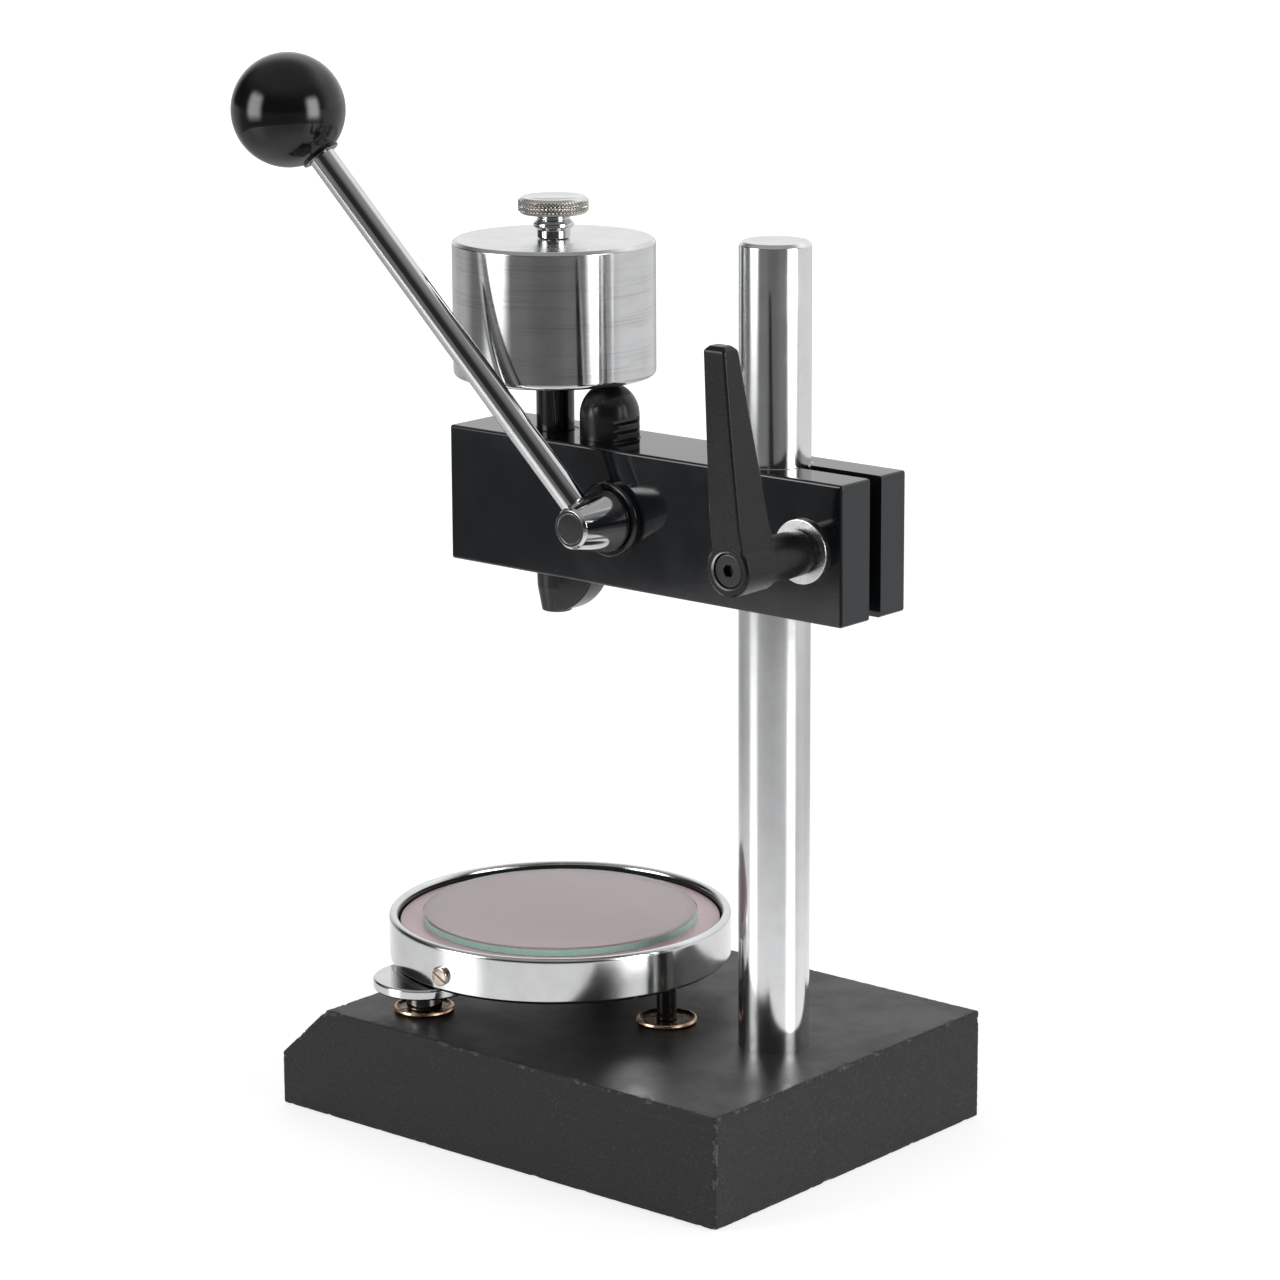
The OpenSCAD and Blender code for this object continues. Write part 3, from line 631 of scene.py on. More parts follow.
def chip_depth(p, nearness):
    """How far a point of the base sinks where stone has broken off, and how pale it is there."""
    spot = noise.noise(p * 0.27) + 0.35 * noise.noise(p * 0.9 + Vector((7, 3, 5)))
    deep = max(0.0, min(1.0, (spot - 0.22) / 0.30)) ** 2
    small = max(0.0, noise.noise(p * 0.75 + Vector((31, 0, 12))) - 0.18) * 1.6
    reach = nearness * (1.0 if p.z > 12 else 0.45)
    depth = reach * (0.62 * deep + 0.34 * small) + 0.05 * nearness * noise.noise(p * 1.4)
    return depth, min(1.0, max(0.0, 2.4 * reach * (deep * 0.8 + small)))


def build_base():
    low, high = box("base_plate")
    column, column_r = round_part("column")[:2]
    outline = [(low[1], low[2]), (low[1], high[2] - SLOPE_DROP), (low[1] + SLOPE_RUN, high[2]),
               (high[1], high[2]), (high[1], low[2])]
    sides = [[(x, y, z) for y, z in outline] for x in (low[0], high[0])]
    base = make_object("stone_base", *capped(sides), None, (STONE_TOP, STONE_SIDE))
    bm = bmesh.new()
    bm.from_mesh(base.data)
    bmesh.ops.bevel(bm, geom=list(bm.edges), offset=0.9 * MM, segments=3, profile=0.6, affect="EDGES")
    large = [f for f in bm.faces if f.calc_area() > 300 * MM * MM]
    for thickness in (1.0, CHIP_REACH - 1.0):
        bmesh.ops.inset_individual(bm, faces=large, thickness=thickness * MM, use_even_offset=True)
    long_edges = [e for e in bm.edges if e.calc_length() > 6 * MM]
    bmesh.ops.subdivide_edges(bm, edges=long_edges, cuts=CHIP_STEPS, use_grid_fill=True)
    inner = {v for f in bm.faces if f.calc_area() > 200 * MM * MM for v in f.verts}
    bm.normal_update()
    relief = bm.verts.layers.float.new("relief")
    moves = []
    for v in bm.verts:
        if v not in inner:
            p = v.co * 1000          # in millimetres
            depth, v[relief] = chip_depth(p, edge_nearness(p, outline, high[0]))
            moves.append((v, depth))
    for v, depth in moves:
        v.co -= v.normal * depth * MM
    bm.to_mesh(base.data)
    bm.free()
    for face in base.data.polygons:
        face.material_index = 0 if face.normal.z > 0.9 else 1
    seat = high[2] - COLUMN_SEAT
    bore = drill("Z", column, 96, (BOLT_RECESS_R, -1, BOLT_RECESS), (BOLT_BORE_R, BOLT_RECESS, seat),
                 (column_r + 0.05, seat, high[2] + 1), materials=(STONE_SIDE,))
    carve(base, [bore], "base", "base_stone", "base_plate", 40)


def edge_nearness(p, outline, half_width):
    """1 on an edge of the base, falling to 0 away from it."""
    distances = [abs(half_width - abs(p.x))]
    for start, end in zip(outline, outline[1:] + outline[:1]):
        line = (Vector(end) - Vector(start)).normalized()
        off = Vector((p.y, p.z)) - Vector(start)
        distances.append(abs(off.x * line.y - off.y * line.x))
    return max(0.0, 1.0 - sorted(distances)[1] / (CHIP_REACH * 0.62))


# ---- table and feet


def build_table():
    centre, r, bottom, top = round_part("table_dish")
    spin = along("Z", centre)
    inner, lip, floor = r - 3.4, 1.6, bottom + 3.8
    outline = rounded([(0, bottom), (r - 1.2, bottom, 0.5), (r, bottom + 1.2, 0.5), (r, top - lip - 0.4)])
    outline += arc((r - lip, top - lip), lip, 0, 170, 14)
    outline += rounded([(inner, top - lip - 0.5), (inner, floor, 0.4), (0, floor)])
    # Painted shade: the chrome dish's inner wall below the lip takes the dark black-oxide finish, so a dark
    # line shows in the gap round the glass.
    turned("table_ring", outline, spin, (CHROME_SOFT, BLACK_OXIDE), 288, "base", "chrome_plate", "table_dish",
           pick=lambda c, n: hypot(c.x, c.y) < inner + 0.3 and floor - 1 < c.z < top - lip)
    for name, material, slot, node, edge in (
            ("carrier_disc", BLACK_STEEL, "black_steel", "glass_carrier", 0.5),
            ("backing_sheet", BACKING, "glass_backing", "glass_pad", 0.15)):
        outline = rounded(stepped(round_part(node)[1:]), edge)
        turned(name, outline, spin, (material,), 192, "base", slot, node)
    r, low, high = round_part("glass_plate")[1:]
    low -= 0.09          # the glass wets the sheet, so no air shows between them
    outline = rounded([(0, low), (r - 0.5, low), (r, low + 0.5), (r, high - 0.6), (r - 0.6, high), (0, high)],
                      0.12)
    turned("glass_disc", outline, spin, (GLASS, GLASS_RIM), 256, "base", "table_glass", "glass_plate",
           pick=lambda c, n: hypot(c.x, c.y) > r - 0.1 and abs(n.z) < 0.5)


def build_table_screws():
    """Cheese heads with a rounded crown and a sawn slot."""
    low, high = box("table_screws")
    ring, ring_r = round_part("table_dish")[:2]
    r, start, end, slot = 3.5, ring_r + 0.02, ring_r + 1.7, 0.45
    outline = [(0, start), (r, start), (r, end - 0.3, 0.45), (r * 0.55, end, 0.8), (0, end)]
    for side, angle in (("right", -1.4), ("left", 178.6)):
        place = at(ring[0], ring[1], (low[2] + high[2]) / 2)
        place = place @ spun("Z", angle) @ spun("Y", 90) @ spun("Z", 62)
        head = lathe("table_screw_" + side, rounded(outline, 0.1), place, (SCREW_NICKEL,), 64)
        cut = brick((-r - 1, -slot, start + (end - start) * 0.45), (r + 1, slot, end + 1))
        cut.matrix_world = place
        carve(head, [cut], "base", "brass_trim", "table_screws")


WASHER_R = 11.0
STUD_R = 3.0


def build_feet():
    z = box("foot_washers")[0][2]
    feet = {side: round_part(node)[0] for side, node in
            (("right", "thumb_nut_right"), ("left", "thumb_nut_left"), ("rear", "pivot_post"))}
    r = WASHER_R
    cup_outline = [(3.7, z), (r - 1.6, z), (r - 0.4, z + 0.25), (r, z + 0.9), (r - 0.25, z + 1.75, 0.3),
                   (r - 0.75, z + 1.9, 0.3), (r - 1.3, z + 1.5), (r - 2.2, z + 1.12), (3.7, z + 1.1)]
    cup_outline = rounded(cup_outline, 0.25, True)
    for side, centre in feet.items():
        cup = lathe("washer_" + side, cup_outline, along("Z", centre), (BRASS,), 96, closed=True)
        # Painted highlight along the rolled rim: full strength on its upper half, half strength below.
        painted_highlight = []
        for v in cup.data.vertices:
            rim = max(0.0, min(1.0, (hypot(v.co.x, v.co.y) / MM - r + 1.25) / 0.5))
            painted_highlight.append(rim * (1.0 if v.co.z / MM > z + 0.8 else 0.5))
        store(cup, "relief", painted_highlight)
        add_piece(cup, "base", "brass_trim", "foot_washers")
    nut_r, nut_low, nut_high = round_part("thumb_nut_right")[1:]
    disc_low, neck, bore = nut_high - 3.9, 6.5, STUD_R + 0.05
    outline = [(bore, nut_low), (neck, nut_low, 0.4), (neck, disc_low, 0.5), (nut_r - 0.6, disc_low, 0.4),
               (nut_r, disc_low + 0.6, 0.5), (nut_r, nut_high - 0.6, 0.5), (nut_r - 0.6, nut_high, 0.4),
               (bore, nut_high, 0.3)]
    low, high = box("levelling_studs")
    for side in ("right", "left"):
        place = along("Z", feet[side])
        turned("thumb_nut_" + side + "_disc", rounded(outline, 0.3, True), place, (CHROME,), 160,
               "thumb_" + side, "chrome_plate", "thumb_nut_" + side, closed=True)
        stud = threaded("levelling_stud_" + side, STUD_R, low[2], high[2], 1.0, place, STEEL)
        add_piece(stud, "base", "plain_steel", "levelling_studs")
    r, low, high = round_part("pivot_post")[1:]
    outline = rounded(stepped((3.0, low, z + 1.2), (r, z + 1.2, high)), 0.3)
    turned("pivot_pillar", outline, along("Z", feet["rear"]), (BLACK_STEEL,), 64, "base", "black_steel",
           "pivot_post")


def threaded(name, r, low, high, pitch, matrix, material):
    """A rod with a real screw thread, wound as one continuous ridge that fades out at both ends."""
    segments = 48
    count = int((high - low) / pitch * 6)
    rows = [[(0, 0, low)]]
    for i in range(count + 1):
        z = low + (high - low) * i / count
        ease = min(1.0, (z - low) / pitch, (high - z) / pitch)
        row = []
        for k, (x, y) in enumerate(polygon(1.0, segments)):
            phase = ((z - low) / pitch - k / segments) % 1.0
            tooth = max(0.0, min(1.0, 2.6 * (0.5 - abs(phase - 0.5)) - 0.15))
            radius = r - 0.55 * pitch * (1 - tooth * ease)
            row.append((radius * x, radius * y, z))
        rows.append(row)
    return make_object(name, *loft(rows + [[(0, 0, high)]]), matrix, (material,))


# ---- column


def build_column():
    centre, r, low, high = round_part("column")
    outline = [(0, low), (r, low, 0.5), (r, high - 1.3, 0.5), (r - 1.25, high, 0.5), (0, high)]
    turned("column_bar", rounded(outline, 0.4), along("Z", centre), (CHROME_BAR, CHROME_FACE), 256, "column",
           "chrome_plate", "column", pick=top_face)
    centre, r, low, high = round_part("column_bolt")
    place = along("Z", centre)
    head = slab("column_bolt_head", polygon(r, 6), low, low + 6.4, place, (BLACK_STEEL,))
    cap = [(0, low - 0.5), (r * 0.86, low - 0.5), (r + 0.6, low + 1.0), (r + 0.6, low + 7), (0, low + 7)]
    join(head, [lathe("cutter", cap, place, (BLACK_STEEL,), 96)], "INTERSECT")
    round_edges(head, 0.25, 2)
    even_shading(head)
    shank = threaded("column_bolt_shank", 5.0, low + 6, high, 1.5, place, BLACK_STEEL)
    for obj in (head, shank):
        add_piece(obj, "column", "black_steel", "column_bolt")
    washer("column_bolt_washer", "column_bolt_washer", 5.3, STEEL, "column", "plain_steel")


def ring_outline(hole, r, low, high, edge):
    return rounded([(hole, low), (r, low), (r, high), (hole, high)], edge, True)


def washer(name, node, hole, material, body, slot, axis="Z", segments=96, edge=0.25):
    centre, r, low, high = round_part(node, axis)
    turned(name, ring_outline(hole, r, low, high, edge), along(axis, centre), (material,), segments, body,
           slot, node, closed=True)


# ---- arm


def mouth(r, low, high, chamfer=0.7):
    """The outline of a bore that is chamfered where it opens at both ends."""
    return [(0, low - 2), (r + chamfer + 2, low - 2), (r, low + chamfer), (r, high - chamfer),
            (r + chamfer + 2, high + 2), (0, high + 2)]


BEARING_R = 9.0       # the shaft's bearings, inside the arm
SHAFT_BORE = 6.05
SPINDLE_BORE = 6.85
CLAMP_BORE = 5.3
BUSH_LENGTH = 14
SLIT_X, SLIT_WIDTH = -0.8, 6.4


def build_arm():
    low, high = box("arm")
    arm = brick(low, high, "arm_body", (PAINT, STEEL))
    round_edges(arm, 1.0, 4, 60)
    column, column_r = round_part("column")[:2]
    plunger, plunger_r = round_part("rack_plunger")[:2]
    spindle = round_part("spindle")[0]
    shaft = round_part("lever_hub", "X")[0]
    clamp = round_part("clamp_washer", "X")[0]
    guide, guide_r, _, guide_top = round_part("guide_pin")
    bush_r = round_part("spindle_bush_upper")[1] + 0.02
    under, over, left, right = low[2] - 1, high[2] + 1, low[0] - 1, high[0] + 1
    lower_bush, upper_bush = low[2] + BUSH_LENGTH, high[2] - BUSH_LENGTH
    join(arm, [
        lathe("cutter", mouth(column_r + 0.05, low[2], high[2]), along("Z", column), (STEEL,), 160),
        lathe("cutter", mouth(plunger_r + 0.05, low[2], high[2], 0.5), along("Z", plunger), (STEEL,), 128),
        drill("Z", spindle, 96, (bush_r, under, lower_bush), (7.3, lower_bush, upper_bush),
              (bush_r, upper_bush, over)),
        drill("Z", guide, 48, (guide_r + 0.05, under, guide_top + 4)),
        drill("X", shaft, 96, (BEARING_R, left, right)),
        drill("X", clamp, 64, (CLAMP_BORE, SLIT_X, right)),
        drill("X", clamp, 64, (5.05, left, SLIT_X + 0.5)),
    ])
    slit_low, slit_high = SLIT_X - SLIT_WIDTH / 2, SLIT_X + SLIT_WIDTH / 2
    slit = brick((slit_low, column[1], under), (slit_high, high[1] + 1, over), materials=(PAINT,))
    carve(arm, [slit], "arm", "black_paint", "arm")

    for end, metal, slot in (("upper", BLACK_STEEL, "black_steel"), ("lower", BRONZE, "bronze_bush")):
        washer("bush_" + end, "spindle_bush_" + end, SPINDLE_BORE, metal, "arm", slot, edge=0.35)
    centre, r, start, end = round_part("bearing_cap", "X")
    seat, boss = high[0], 10.3
    outline = [(SHAFT_BORE, start), (BEARING_R, start), (BEARING_R, seat, 0), (r, seat, 0.15),
               (r, seat + 2.2, 0.6), (r - 0.7, seat + 2.9, 0.6), (boss, seat + 2.9, 0.3), (boss, end, 0.3),
               (SHAFT_BORE, end, 0.3)]
    turned("bearing_flange", rounded(outline, 0.3, True), along("X", centre), (PAINT,), 144, "arm",
           "black_paint", "bearing_cap", closed=True)
    centre, r, start, end = round_part("bearing_bush", "X")
    outline = [(SHAFT_BORE, start), (r, start), (r, low[0], 0), (BEARING_R, low[0], 0), (BEARING_R, end),
               (SHAFT_BORE, end)]
    turned("bearing_sleeve", rounded(outline, 0.35, True), along("X", centre), (BLACK_STEEL,), 96, "arm",
           "black_steel", "bearing_bush", closed=True)
    washer("clamp_washer_disc", "clamp_washer", CLAMP_BORE, SATIN_WASHER, "arm", "chrome_plate", "X", 128,
           0.35)


# ---- lever, pinion and rack

ROD_PLANE = 29.7      # where the rod's line crosses the shaft's axis, along X


def lever_frame():
    """A frame whose Z runs from the shaft's axis to the ball, and the distance between them."""
    shaft = round_part("lever_hub", "X")[0]
    low, high = box("ball_knob")
    ball = Vector([(a + b) / 2 for a, b in zip(low, high)])
    start = Vector((ROD_PLANE, shaft[0], shaft[1]))
    line = ball - start
    z = line.normalized()
    x = (Vector((1, 0, 0)) - z * z.x).normalized()
    turn = Matrix((x, z.cross(x), z)).transposed().to_4x4()
    return Matrix.Translation(start * MM) @ turn, line.length, (high[0] - low[0]) / 2


ROD_R = 4.8


def build_lever():
    shaft, hub_r, hub_low, hub_high = round_part("lever_hub", "X")
    spin = along("X", shaft)
    tip_r, journal_r = 7.3, 5.4
    outline = [(5.42, hub_low), (hub_r, hub_low, 0.35), (tip_r, hub_high - 0.9, 0.35),
               (tip_r - 0.9, hub_high, 0.3), (5.42, hub_high, 0.1)]
    turned("lever_cone", rounded(outline, 0.3, True), spin, (CHROME, HUB_FACE), 160, "lever", "chrome_plate",
           "lever_hub", closed=True, pick=top_face)
    low, high = round_part("pinion_shaft", "X")[2:]
    outline = [(0, low), (6.0, low, 0.5), (6.0, hub_low, 0), (journal_r, hub_low, 0), (journal_r, high, 0.35),
               (0, high)]
    turned("lever_shaft", rounded(outline, 0.3), spin, (STEEL, HUB_FACE), 96, "lever", "plain_steel",
           "pinion_shaft", pick=top_face)
    add_piece(build_pinion(spin), "lever", "plain_steel", "pinion_shaft")
    r, low, high = round_part("shaft_circlip", "X")[1:]
    outline = ring_outline(SHAFT_BORE, r, low, high, 0.2)
    clip = lathe("shaft_clip", outline, spin, (BLACK_STEEL,), 96, closed=True)
    gap = brick((low - 1, shaft[0] - 2.2, shaft[1] - 12), (high + 1, shaft[0] + 2.2, shaft[1] - 1))
    carve(clip, [gap], "lever", "black_steel", "shaft_circlip")
    build_rod()


def build_rod():
    place, reach, ball_r = lever_frame()
    neck_r, collar_r, base = ROD_R - 1, 7.1, reach - ball_r
    outline = [(0, 6.9), (neck_r, 6.9, 0.3), (neck_r, 8.55, 0), (ROD_R, 8.55, 0.35), (ROD_R, reach - 8.2),
               (0, reach - 8.2)]
    turned("lever_bar", rounded(outline, 0.3), place, (CHROME,), 96, "lever", "chrome_plate", "lever_rod")
    outline = rounded([(ROD_R + 0.04, reach - 8.0), (ROD_R + 0.04, base + 0.15, 0.3),
                       (collar_r, base + 0.15, 0.45), (collar_r, base + 0.9)], 0.3)[1:]
    touch = degrees(acos(collar_r / ball_r))
    outline += arc((0, reach), ball_r, -touch, 90, 60)[:-1]
    outline = [(0, reach - 8.0)] + outline + [(0, reach + ball_r)]
    ball = lathe("ball_grip", outline, place, (PHENOLIC,), 144)
    square_up(ball)
    add_piece(ball, "lever", "black_plastic", "ball_knob")


PRESSURE_SLOPE = tan(radians(20))
PINION_TEETH, PITCH_R = 14, 7.0


def build_pinion(place):
    """A 14-tooth pinion of module 1, cut on the shaft."""
    top, root, half_length = 7.8, 6.0, 8.5
    steps = [root, 6.6, PITCH_R, 7.4, top]
    outline = []
    for k in range(PINION_TEETH):
        middle = 2 * pi * k / PINION_TEETH + pi
        for side, radii in ((-1, steps), (1, steps[::-1])):
            for r in radii:
                half = (pi / 4 - 0.06 - (r - PITCH_R) * PRESSURE_SLOPE * 0.9) / r
                outline.append((r * cos(middle + side * half), r * sin(middle + side * half)))
    return slab("pinion_teeth", outline, -half_length, half_length, place, (STEEL,))


DOME_HEIGHT, DOME_STEPS = 11.5, 28
RACK_GAPS, RACK_PITCH = 14, pi


def build_plunger():
    centre, r, low, high = round_part("rack_plunger")
    dome = high - DOME_HEIGHT
    outline = rounded([(0, low), (r, low, 0.9), (r, dome - 0.2)], 0.4)
    outline += [(x, dome + y * DOME_HEIGHT / r) for x, y in polygon(r, 4 * DOME_STEPS)[:DOME_STEPS]]
    plunger = lathe("rack_bar", outline + [(0, high)], along("Z", centre), (PLUNGER_STEEL,), 160)
    crest = centre[1] + r - 1.0
    root = crest - 1.8
    half = RACK_PITCH / 4 + 0.06
    wide, narrow = half + PRESSURE_SLOPE * 0.8, half - PRESSURE_SLOPE
    first = round_part("lever_hub", "X")[0][1] - 3 * RACK_PITCH
    last = first + (RACK_GAPS - 1) * RACK_PITCH
    flat = brick((-r - 1, crest, first - wide), (r + 1, crest + 5, last + wide), materials=(PLUNGER_STEEL,))
    cutters = [flat]
    for k in range(RACK_GAPS):
        z = first + k * RACK_PITCH
        gap = [(root, z - narrow), (root, z + narrow), (crest + 0.01, z + wide), (crest + 3, z + wide),
               (crest + 3, z - wide), (crest + 0.01, z - wide)]
        cutters.append(slab("cutter", gap, -r - 1, r + 1, ALONG_X, (PLUNGER_STEEL,)))
    carve(plunger, cutters, "plunger", "black_steel", "rack_plunger", 30)


# ---- spindle, weight and knob


def build_spindle():
    centre, r, low, high = round_part("spindle")
    (_, _, yoke_low), (_, _, yoke_high) = box("guide_yoke")
    weight_r, weight_low, weight_high = round_part("weight")[1:]
    socket, socket_top, stem, shoulder, pitch = 3.4, low + 12, 5.0, weight_low + 8, 1.25
    outline = [(0, socket_top), (socket, socket_top)]
    for k in range(9):
        z = socket_top - 0.7 - k * pitch
        outline += [(socket, z), (socket + 0.45, z - pitch * 0.45), (socket, z - pitch * 0.9)]
    outline += [(socket, low + 0.5), (socket + 0.6, low)]
    outline += rounded([(socket + 0.6, low), (stem, low, 0.3), (stem, yoke_high, 0), (r, yoke_high, 0.3),
                        (r, shoulder, 0.3), (stem, shoulder, 0), (stem, high, 0.4), (0, high)], 0.3)[1:]
    place = along("Z", centre)
    turned("spindle_bar", outline, place, (BLACK_OXIDE,), 128, "spindle", "black_steel", "spindle")

    bore = stem + 0.05
    outline = [(bore, shoulder + 0.1), (SPINDLE_BORE, shoulder + 0.1), (SPINDLE_BORE, weight_low, 0.4),
               (weight_r, weight_low, 2.0), (weight_r, weight_high - 1.2, 0.5),
               (weight_r - 1.2, weight_high, 0.5), (bore, weight_high, 0.5)]
    turned("weight_body", rounded(outline, 0.3, True, 6), place, (CHROME_TURNED, CHROME_FACE), 320, "spindle",
           "chrome_plate", "weight", closed=True, pick=lambda c, n: abs(n.z) > 0.98)
    build_yoke(centre, yoke_low, yoke_high)


def build_yoke(centre, low, high):
    """The tapered boss on the spindle's lower end, with the curved web that carries the guide pin."""
    arc_r, web = 22.5, 4.8
    outline = rounded([(0, low), (5.4, low, 0.5), (7.0, low + 9, 2.0), (7.3, high, 0.3), (0, high)], 0.4)
    boss = lathe("guide_yoke_body", outline, along("Z", centre), (PAINT,), 96)
    middle = (centre[1] - 0.5, low + arc_r)
    top = degrees(asin((high - middle[1]) / arc_r))
    curve = arc(middle, arc_r, -84, top, 24) + [(middle[0] - 2, high), (middle[0] - 2, low + 0.3)]
    join(boss, [slab("gusset", curve, -web, web, ALONG_X, (PAINT,), 0.7, 3)], "UNION")
    screw_place = at(centre[0], centre[1], low + 10.4) @ spun("X", 90)
    bores = [drill("Z", centre, 64, (4.2, low - 1, low + 3), (5.02, low + 3, high + 1)),
             lathe("cutter", stepped((1.52, 4, 12)), screw_place, (STEEL,), 32)]
    carve(boss, bores, "spindle", "black_paint", "guide_yoke", 35)
    guide, r, start, end = round_part("guide_pin")
    outline = rounded([(0, start), (r, start, 0.4), (r, end, 0.5), (0, end)], 0.4)
    turned("guide_rod", outline, along("Z", guide), (STEEL,), 48, "spindle", "plain_steel", "guide_pin")
    low, high = box("yoke_screw")
    start, end = centre[1] - high[1], centre[1] - low[1]
    grub = lathe("yoke_grub", rounded(stepped((1.45, start, end)), 0.2), screw_place, (BLACK_STEEL,), 32)
    socket = slab("cutter", polygon(0.87, 6), end - 1.0, end + 1, screw_place)
    carve(grub, [socket], "spindle", "black_steel", "yoke_screw")


KNURL_TEETH = 58
KNURL_DEPTH = 0.42


def build_knob():
    centre, r, low, high = round_part("weight_knob")
    spin = along("Z", centre)
    start = box("weight")[1][2] + 0.3
    disc_low = high - 5.9
    outline = [(0, low), (2.95, low, 0.4), (2.95, start, 0), (5.9, start, 0.4), (5.9, start + 2.9, 0.8),
               (7.2, start + 4.1, 0.9), (7.2, start + 5.3, 0.9), (5.7, start + 6.7, 0.9),
               (5.75, start + 7.4, 1.0), (6.9, disc_low + 0.02, 0.4), (0, disc_low + 0.02)]
    turned("knob_neck", rounded(outline, 0.3, steps=6), spin, (CHROME,), 128, "knob", "nickel_knurl",
           "weight_knob")
    band, bevel = 28, 0.9
    bottom, top = disc_low + bevel, high - bevel
    profile = [(0, disc_low, 0), (r - bevel - 0.3, disc_low, 0), (r - bevel, disc_low + 0.12, 0),
               (r - KNURL_DEPTH, bottom, 0)]
    profile += [(r, bottom + (top - bottom) * k / band, 1) for k in range(1, band)]
    profile += [(r - KNURL_DEPTH, top, 0), (r - bevel - 0.05, high - 0.14, 0), (r - bevel - 0.35, high, 0),
                (r - 3.2, high, 0), (r - 3.6, high - 0.12, 0), (0, high - 0.12, 0)]
    rows, relief = [], []
    pitch = 2 * pi * r / KNURL_TEETH
    for radius, z, cut in profile:
        row = []
        for k, (x, y) in enumerate(polygon(1.0, KNURL_TEETH * 8) if radius else [(0, 0)]):
            u, w = k / 8, (z - disc_low) / pitch
            height = min(1.0, 1.5 * min(ridge(u + w), ridge(u - w))) if cut else 1.0
            reach = radius - KNURL_DEPTH * (1 - height)
            row.append((reach * x, reach * y, z))
            relief.append(height)
        rows.append(row)
    disc = make_object("knob_disc", *loft(rows), spin, (KNURL, NICKEL), lambda c, n: abs(n.z) > 0.6)
    store(disc, "relief", relief)
    add_piece(disc, "knob", "nickel_knurl", "weight_knob")


def ridge(x):
    """0 in the bottom of a groove and 1 halfway to the next."""
    return 1 - abs(2 * (x % 1.0) - 1)


# ---- clamp handle


def build_clamp():
    centre, r, low, high = round_part("clamp_stud", "X")
    stud = threaded("clamp_stud_bar", r, low, high, 1.5, along("X", centre), STEEL)
    add_piece(stud, "clamp", "plain_steel", "clamp_stud")
    centre, r, low, high = round_part("handle_insert", "X")
    collar, floor = 32, 31.5
    outline = [(5.05, low), (r, low, 0.4), (r, collar, 0), (6.3, collar, 0.2), (6.3, high, 0.3),
               (2.55, high, 0.2), (2.55, floor, 0), (5.05, floor, 0)]
    insert = lathe("insert_sleeve", rounded(outline, 0.3, True), along("X", centre), (BLACK_STEEL,), 96,
                   closed=True)
    splines = [drill("X", (centre[0] + x, centre[1] + y), 16, (0.9, collar + 0.2, high + 1), materials=())
               for x, y in polygon(6.5, 12)]
    carve(insert, splines, "clamp", "plain_steel", "handle_insert")

    centre, r, low, high = round_part("handle_screw", "X")
    head = high - 3.2
    outline = [(0, low), (2.5, low, 0.4), (2.5, head, 0.2), (r, head, 0.3), (r, high, 0.5), (0, high)]
    screw = lathe("handle_bolt", rounded(outline, 0.3), along("X", centre), (BLACK_STEEL,), 96)
    socket = slab("cutter", polygon(2.31, 6), high - 2.2, high + 1, along("X", centre))
    carve(screw, [socket], "clamp", "black_steel", "handle_screw")
    build_spring(centre)
    build_handle(centre)


def build_spring(centre):
    """A steel wire wound five turns, built at its rest length; the real spring shortens as the handle is
    pulled.
    """
    low, high = box("handle_spring")
    wire, coil, turns, steps = 0.55, 4.2, 5, 44
    start, end = low[0] + wire, high[0] - wire
    rows = []
    for i in range(turns * steps + 1):
        a = 2 * pi * i / steps
        x = start + (end - start) * i / (turns * steps)
        row = [((coil + u) * cos(a), (coil + u) * sin(a), x + w) for u, w in polygon(wire, 12)]
        rows.append(row)
    spring = make_object("spring_wire", *capped(rows), along("X", centre), (STEEL,))
    add_piece(spring, "clamp", "plain_steel", "handle_spring")
    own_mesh(spring)


def build_handle(centre):
    """A die-cast clamp lever: a round hub, and a blade that tapers up to a blunt rounded tip."""
    low, high = box("clamp_handle")
    start, end, top, z = low[0], 58.0, high[2], centre[1]
    outline = [(0, start), (7.9, start, 0.9), (7.9, 41.6, 0.3), (9.0, 41.6, 0.45), (9.0, end - 0.9, 0.4),
               (8.1, end, 0.5), (0, end)]
    hub = lathe("clamp_lever", rounded(outline, 0.3), along("X", centre), (COAT,), 128)
    sections = [(z - 0.5, 42.0, 57.7, 6.7), (z + 8.0, 42.0, 58.0, 6.7), (z + 11.5, 42.15, 58.95, 6.6),
                (z + 16, 43.3, 59.6, 6.45), (z + 30, 46.6, 61.0, 6.0), (z + 50, 51.4, 62.9, 5.3),
                (top - 4.5, 56.4, 64.7, 4.65), (top - 1.6, 57.2, 64.9, 4.6), (top, 58.9, 63.6, 3.0)]
    rows = [[(x, y + centre[0], level) for x, y in blade_section(*section)] for level, *section in sections]
    blade = make_object("blade", *capped(rows), None, (COAT,))
    round_edges(blade, 0.55, 3, 25)
    join(hub, [blade], "UNION")
    bore = drill("X", centre, 96, (6.75, start - 1, 34.2), (6.5, 34.2, 38.3), (2.8, 38.3, 41),
                 (6.1, 41, end - 0.5), (6.6, end + 0.01, end + 1))
    carve(hub, [bore], "handle", "handle_coat", "clamp_handle", 34)


def blade_section(x0, x1, half):
    """A section of the blade from x0 to x1, with rounded corners."""
    r = 1.1
    centres = (x1 - r, half - r), (x0 + r, half - r), (x0 + r, r - half), (x1 - r, r - half)
    return [p for k, centre in enumerate(centres) for p in arc(centre, r, 90 * k, 90 * k + 90, 6)]


# ---- stage and light

TABLE_REACH = 0.88        # how far out reflections see the pale table top
LEFT_LEVEL = 6.8          # how much brighter each soft box is than white
RIGHT_LEVEL = 8.6
EDGE_LEVEL = 0.10         # a soft box's level at its edge, against its middle
LIGHT_CENTRE = Vector((0.0, 0.02, 0.0))
LIGHT_DISTANCE = 1.3


def show_to(obj, *rays):
    """Puts a stage piece where only the named kinds of ray see it."""
    for ray in ("camera", "diffuse", "glossy", "transmission", "shadow"):
        setattr(obj, "visible_" + ray, ray in rays)


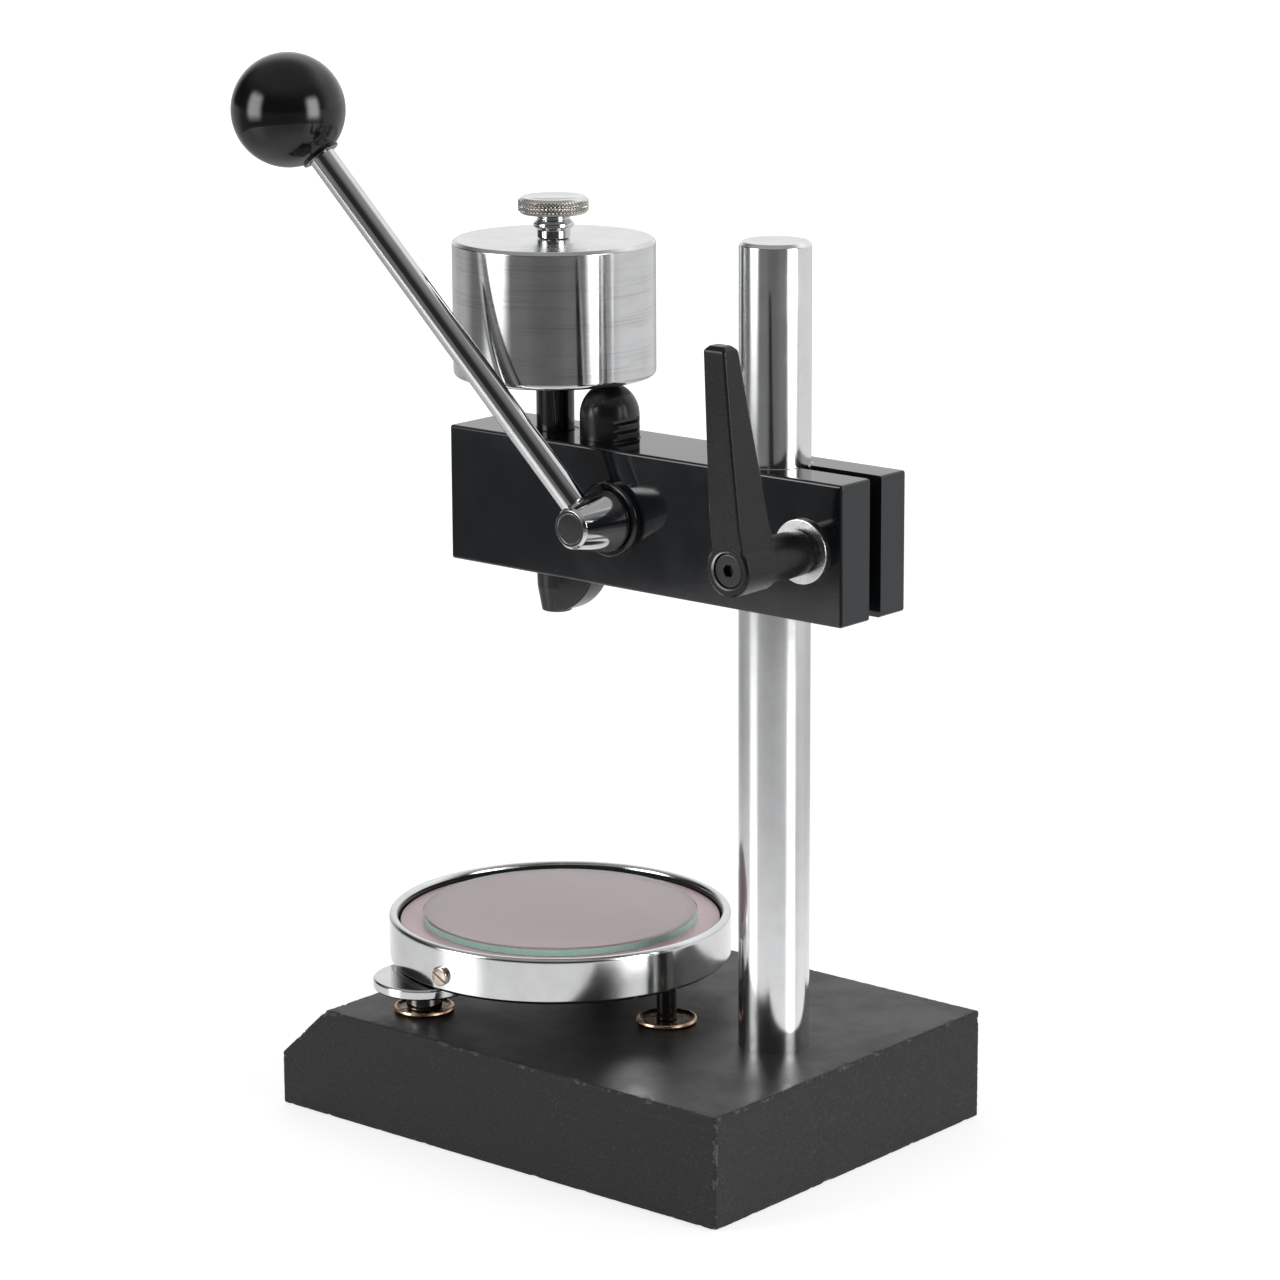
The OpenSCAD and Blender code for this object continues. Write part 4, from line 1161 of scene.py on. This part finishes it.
def stage_sheet(name, size, z, material, *rays):
    """A round sheet that only the named kinds of ray can see."""
    sheet = lathe(name, [(0, z / MM), (size / MM, z / MM)], Matrix.Identity(4), (material,), 96)
    show_to(sheet, *rays)


def add_stage():
    g = Graph("floor")
    tone = g.tones(g.noise(3, 2), 0.3, 0.7, grey(0.40), grey(0.44))
    far = g.ramp(g.radius(), 0.45, 1.6, 0.72, 1.0)
    floor = g.finish(Base_Color=tone, Roughness=0.9, Specular_IOR_Level=0.1, Emission_Color=(1, 1, 1, 1),
                     Emission_Strength=far)
    stage_sheet("floor", 14.0, -0.0004, floor, "camera")

    g = Graph("table_top")
    # Painted light: this sheet is paler near the middle and glows there, standing in for a lit table top seen
    # in reflections.
    tone = g.tones(g.radius(), 0.30, 0.62, grey(0.95), grey(0.66))
    tone = g.mix(g.ramp(g.noise(5, 2), 0.3, 0.7, 0.0, 0.05), tone, grey(0.5))
    glow = g.ramp(g.radius(), 0.18, 0.46, 0.24, 0.0)
    table = g.finish(Base_Color=tone, Roughness=0.22, Specular_IOR_Level=0.35, Emission_Color=(1, 1, 1, 1),
                     Emission_Strength=glow)
    stage_sheet("table_top", TABLE_REACH, -0.0008, table, "diffuse", "glossy", "transmission", "shadow")

    white = Graph("surround").finish("Emission", Color=(1, 1, 1, 1), Strength=1.0)
    outline = [(0, -8000)] + arc((0, 0), 15000, -35, 90, 24)[:-1] + [(0, 15000)]
    show_to(lathe("surround", outline, Matrix.Identity(4), (white,), 64), "camera")


def fade_edges(light):
    """A soft box is brightest in its middle: the cloth dims towards its edges."""
    g = Graph(light)
    across = g.add("SeparateXYZ", _0=g.add("NewGeometry").outputs["Parametric"])
    falls = []
    for axis, steady in ((0, 0.18), (1, 0.22)):
        off = g.math("ABSOLUTE", g.math("SUBTRACT", across.outputs[axis], 0.5))
        falls.append(g.ramp(off, steady, 0.5, 1.0, EDGE_LEVEL))
    g.finish("Emission", "Light", Strength=g.math("MULTIPLY", *falls))


def soft_box(name, azimuth, width, low, high, level):
    """A tall soft box that faces the object."""
    light = bpy.data.lights.new(name, "AREA")
    light.shape, light.size, light.size_y = "RECTANGLE", width, high - low
    light.energy = level * pi * width * (high - low)
    fade_edges(light)
    a = radians(azimuth)
    away = Vector((cos(a), sin(a), 0))
    place = LIGHT_CENTRE + away * LIGHT_DISTANCE + Vector((0, 0, (low + high) / 2))
    obj = bpy.data.objects.new(name, light)
    obj.matrix_world = Matrix.Translation(place) @ away.to_track_quat("Z", "Y").to_matrix().to_4x4()
    obj.visible_camera = False
    bpy.context.scene.collection.objects.link(obj)


def add_world():
    """A dim studio: dark towards the photographer, white paper behind the object and grey floor around it."""
    bpy.context.scene.world = bpy.data.worlds.new("studio")
    g = Graph(bpy.context.scene.world)
    way = g.add("TexCoord").outputs["Generated"]

    def toward(azimuth, low, high, level):
        a = radians(azimuth)
        dot = g.add("VectorMath", {"operation": "DOT_PRODUCT"}, _0=way, _1=(cos(a), sin(a), 0))
        return g.ramp(dot.outputs["Value"], low, high, 0.0, level)

    height = g.add("SeparateXYZ", _0=way).outputs["Z"]
    above = g.ramp(height, -0.04, 0.05)
    below = g.math("SUBTRACT", 1.0, above)
    paper = g.math("MULTIPLY", toward(190, 0.15, 0.7, 0.95), g.ramp(height, 0.65, 0.95, 1.0, 0.12))
    floor = g.math("MAXIMUM", toward(155, 0.5, 0.85, 0.62), toward(215, 0.3, 0.8, 0.36))
    floor = g.math("MAXIMUM", floor, toward(264, 0.82, 0.97, 0.32))
    floor = g.math("ADD", floor, 0.165)
    floor = g.math("SUBTRACT", floor, toward(32, 0.90, 0.99, 0.045))
    floor = g.math("SUBTRACT", floor, toward(32, 0.9945, 0.9994, 0.07))
    ceiling = g.ramp(height, 0.35, 0.85, 0.0, 0.36)
    total = g.math("ADD", g.math("MULTIPLY", paper, above), g.math("MULTIPLY", floor, below))
    total = g.math("ADD", g.math("ADD", total, ceiling), 0.03)
    g.finish("Background", "World", Color=(1, 1, 1, 1), Strength=total)


def add_lights():
    soft_box("soft_box_left", -30, 0.86, 0.015, 1.15, LEFT_LEVEL)
    soft_box("soft_box_right", 94, 0.84, -0.05, 1.15, RIGHT_LEVEL)


# ---- build

for step in (add_camera, build_base, build_table, build_table_screws, build_feet, build_column, build_arm,
             build_lever, build_plunger, build_spindle, build_knob, build_clamp, add_stage, add_world,
             add_lights):
    step()

scene = bpy.context.scene
scene.view_settings.view_transform = "Standard"
scene.view_settings.look = "None"
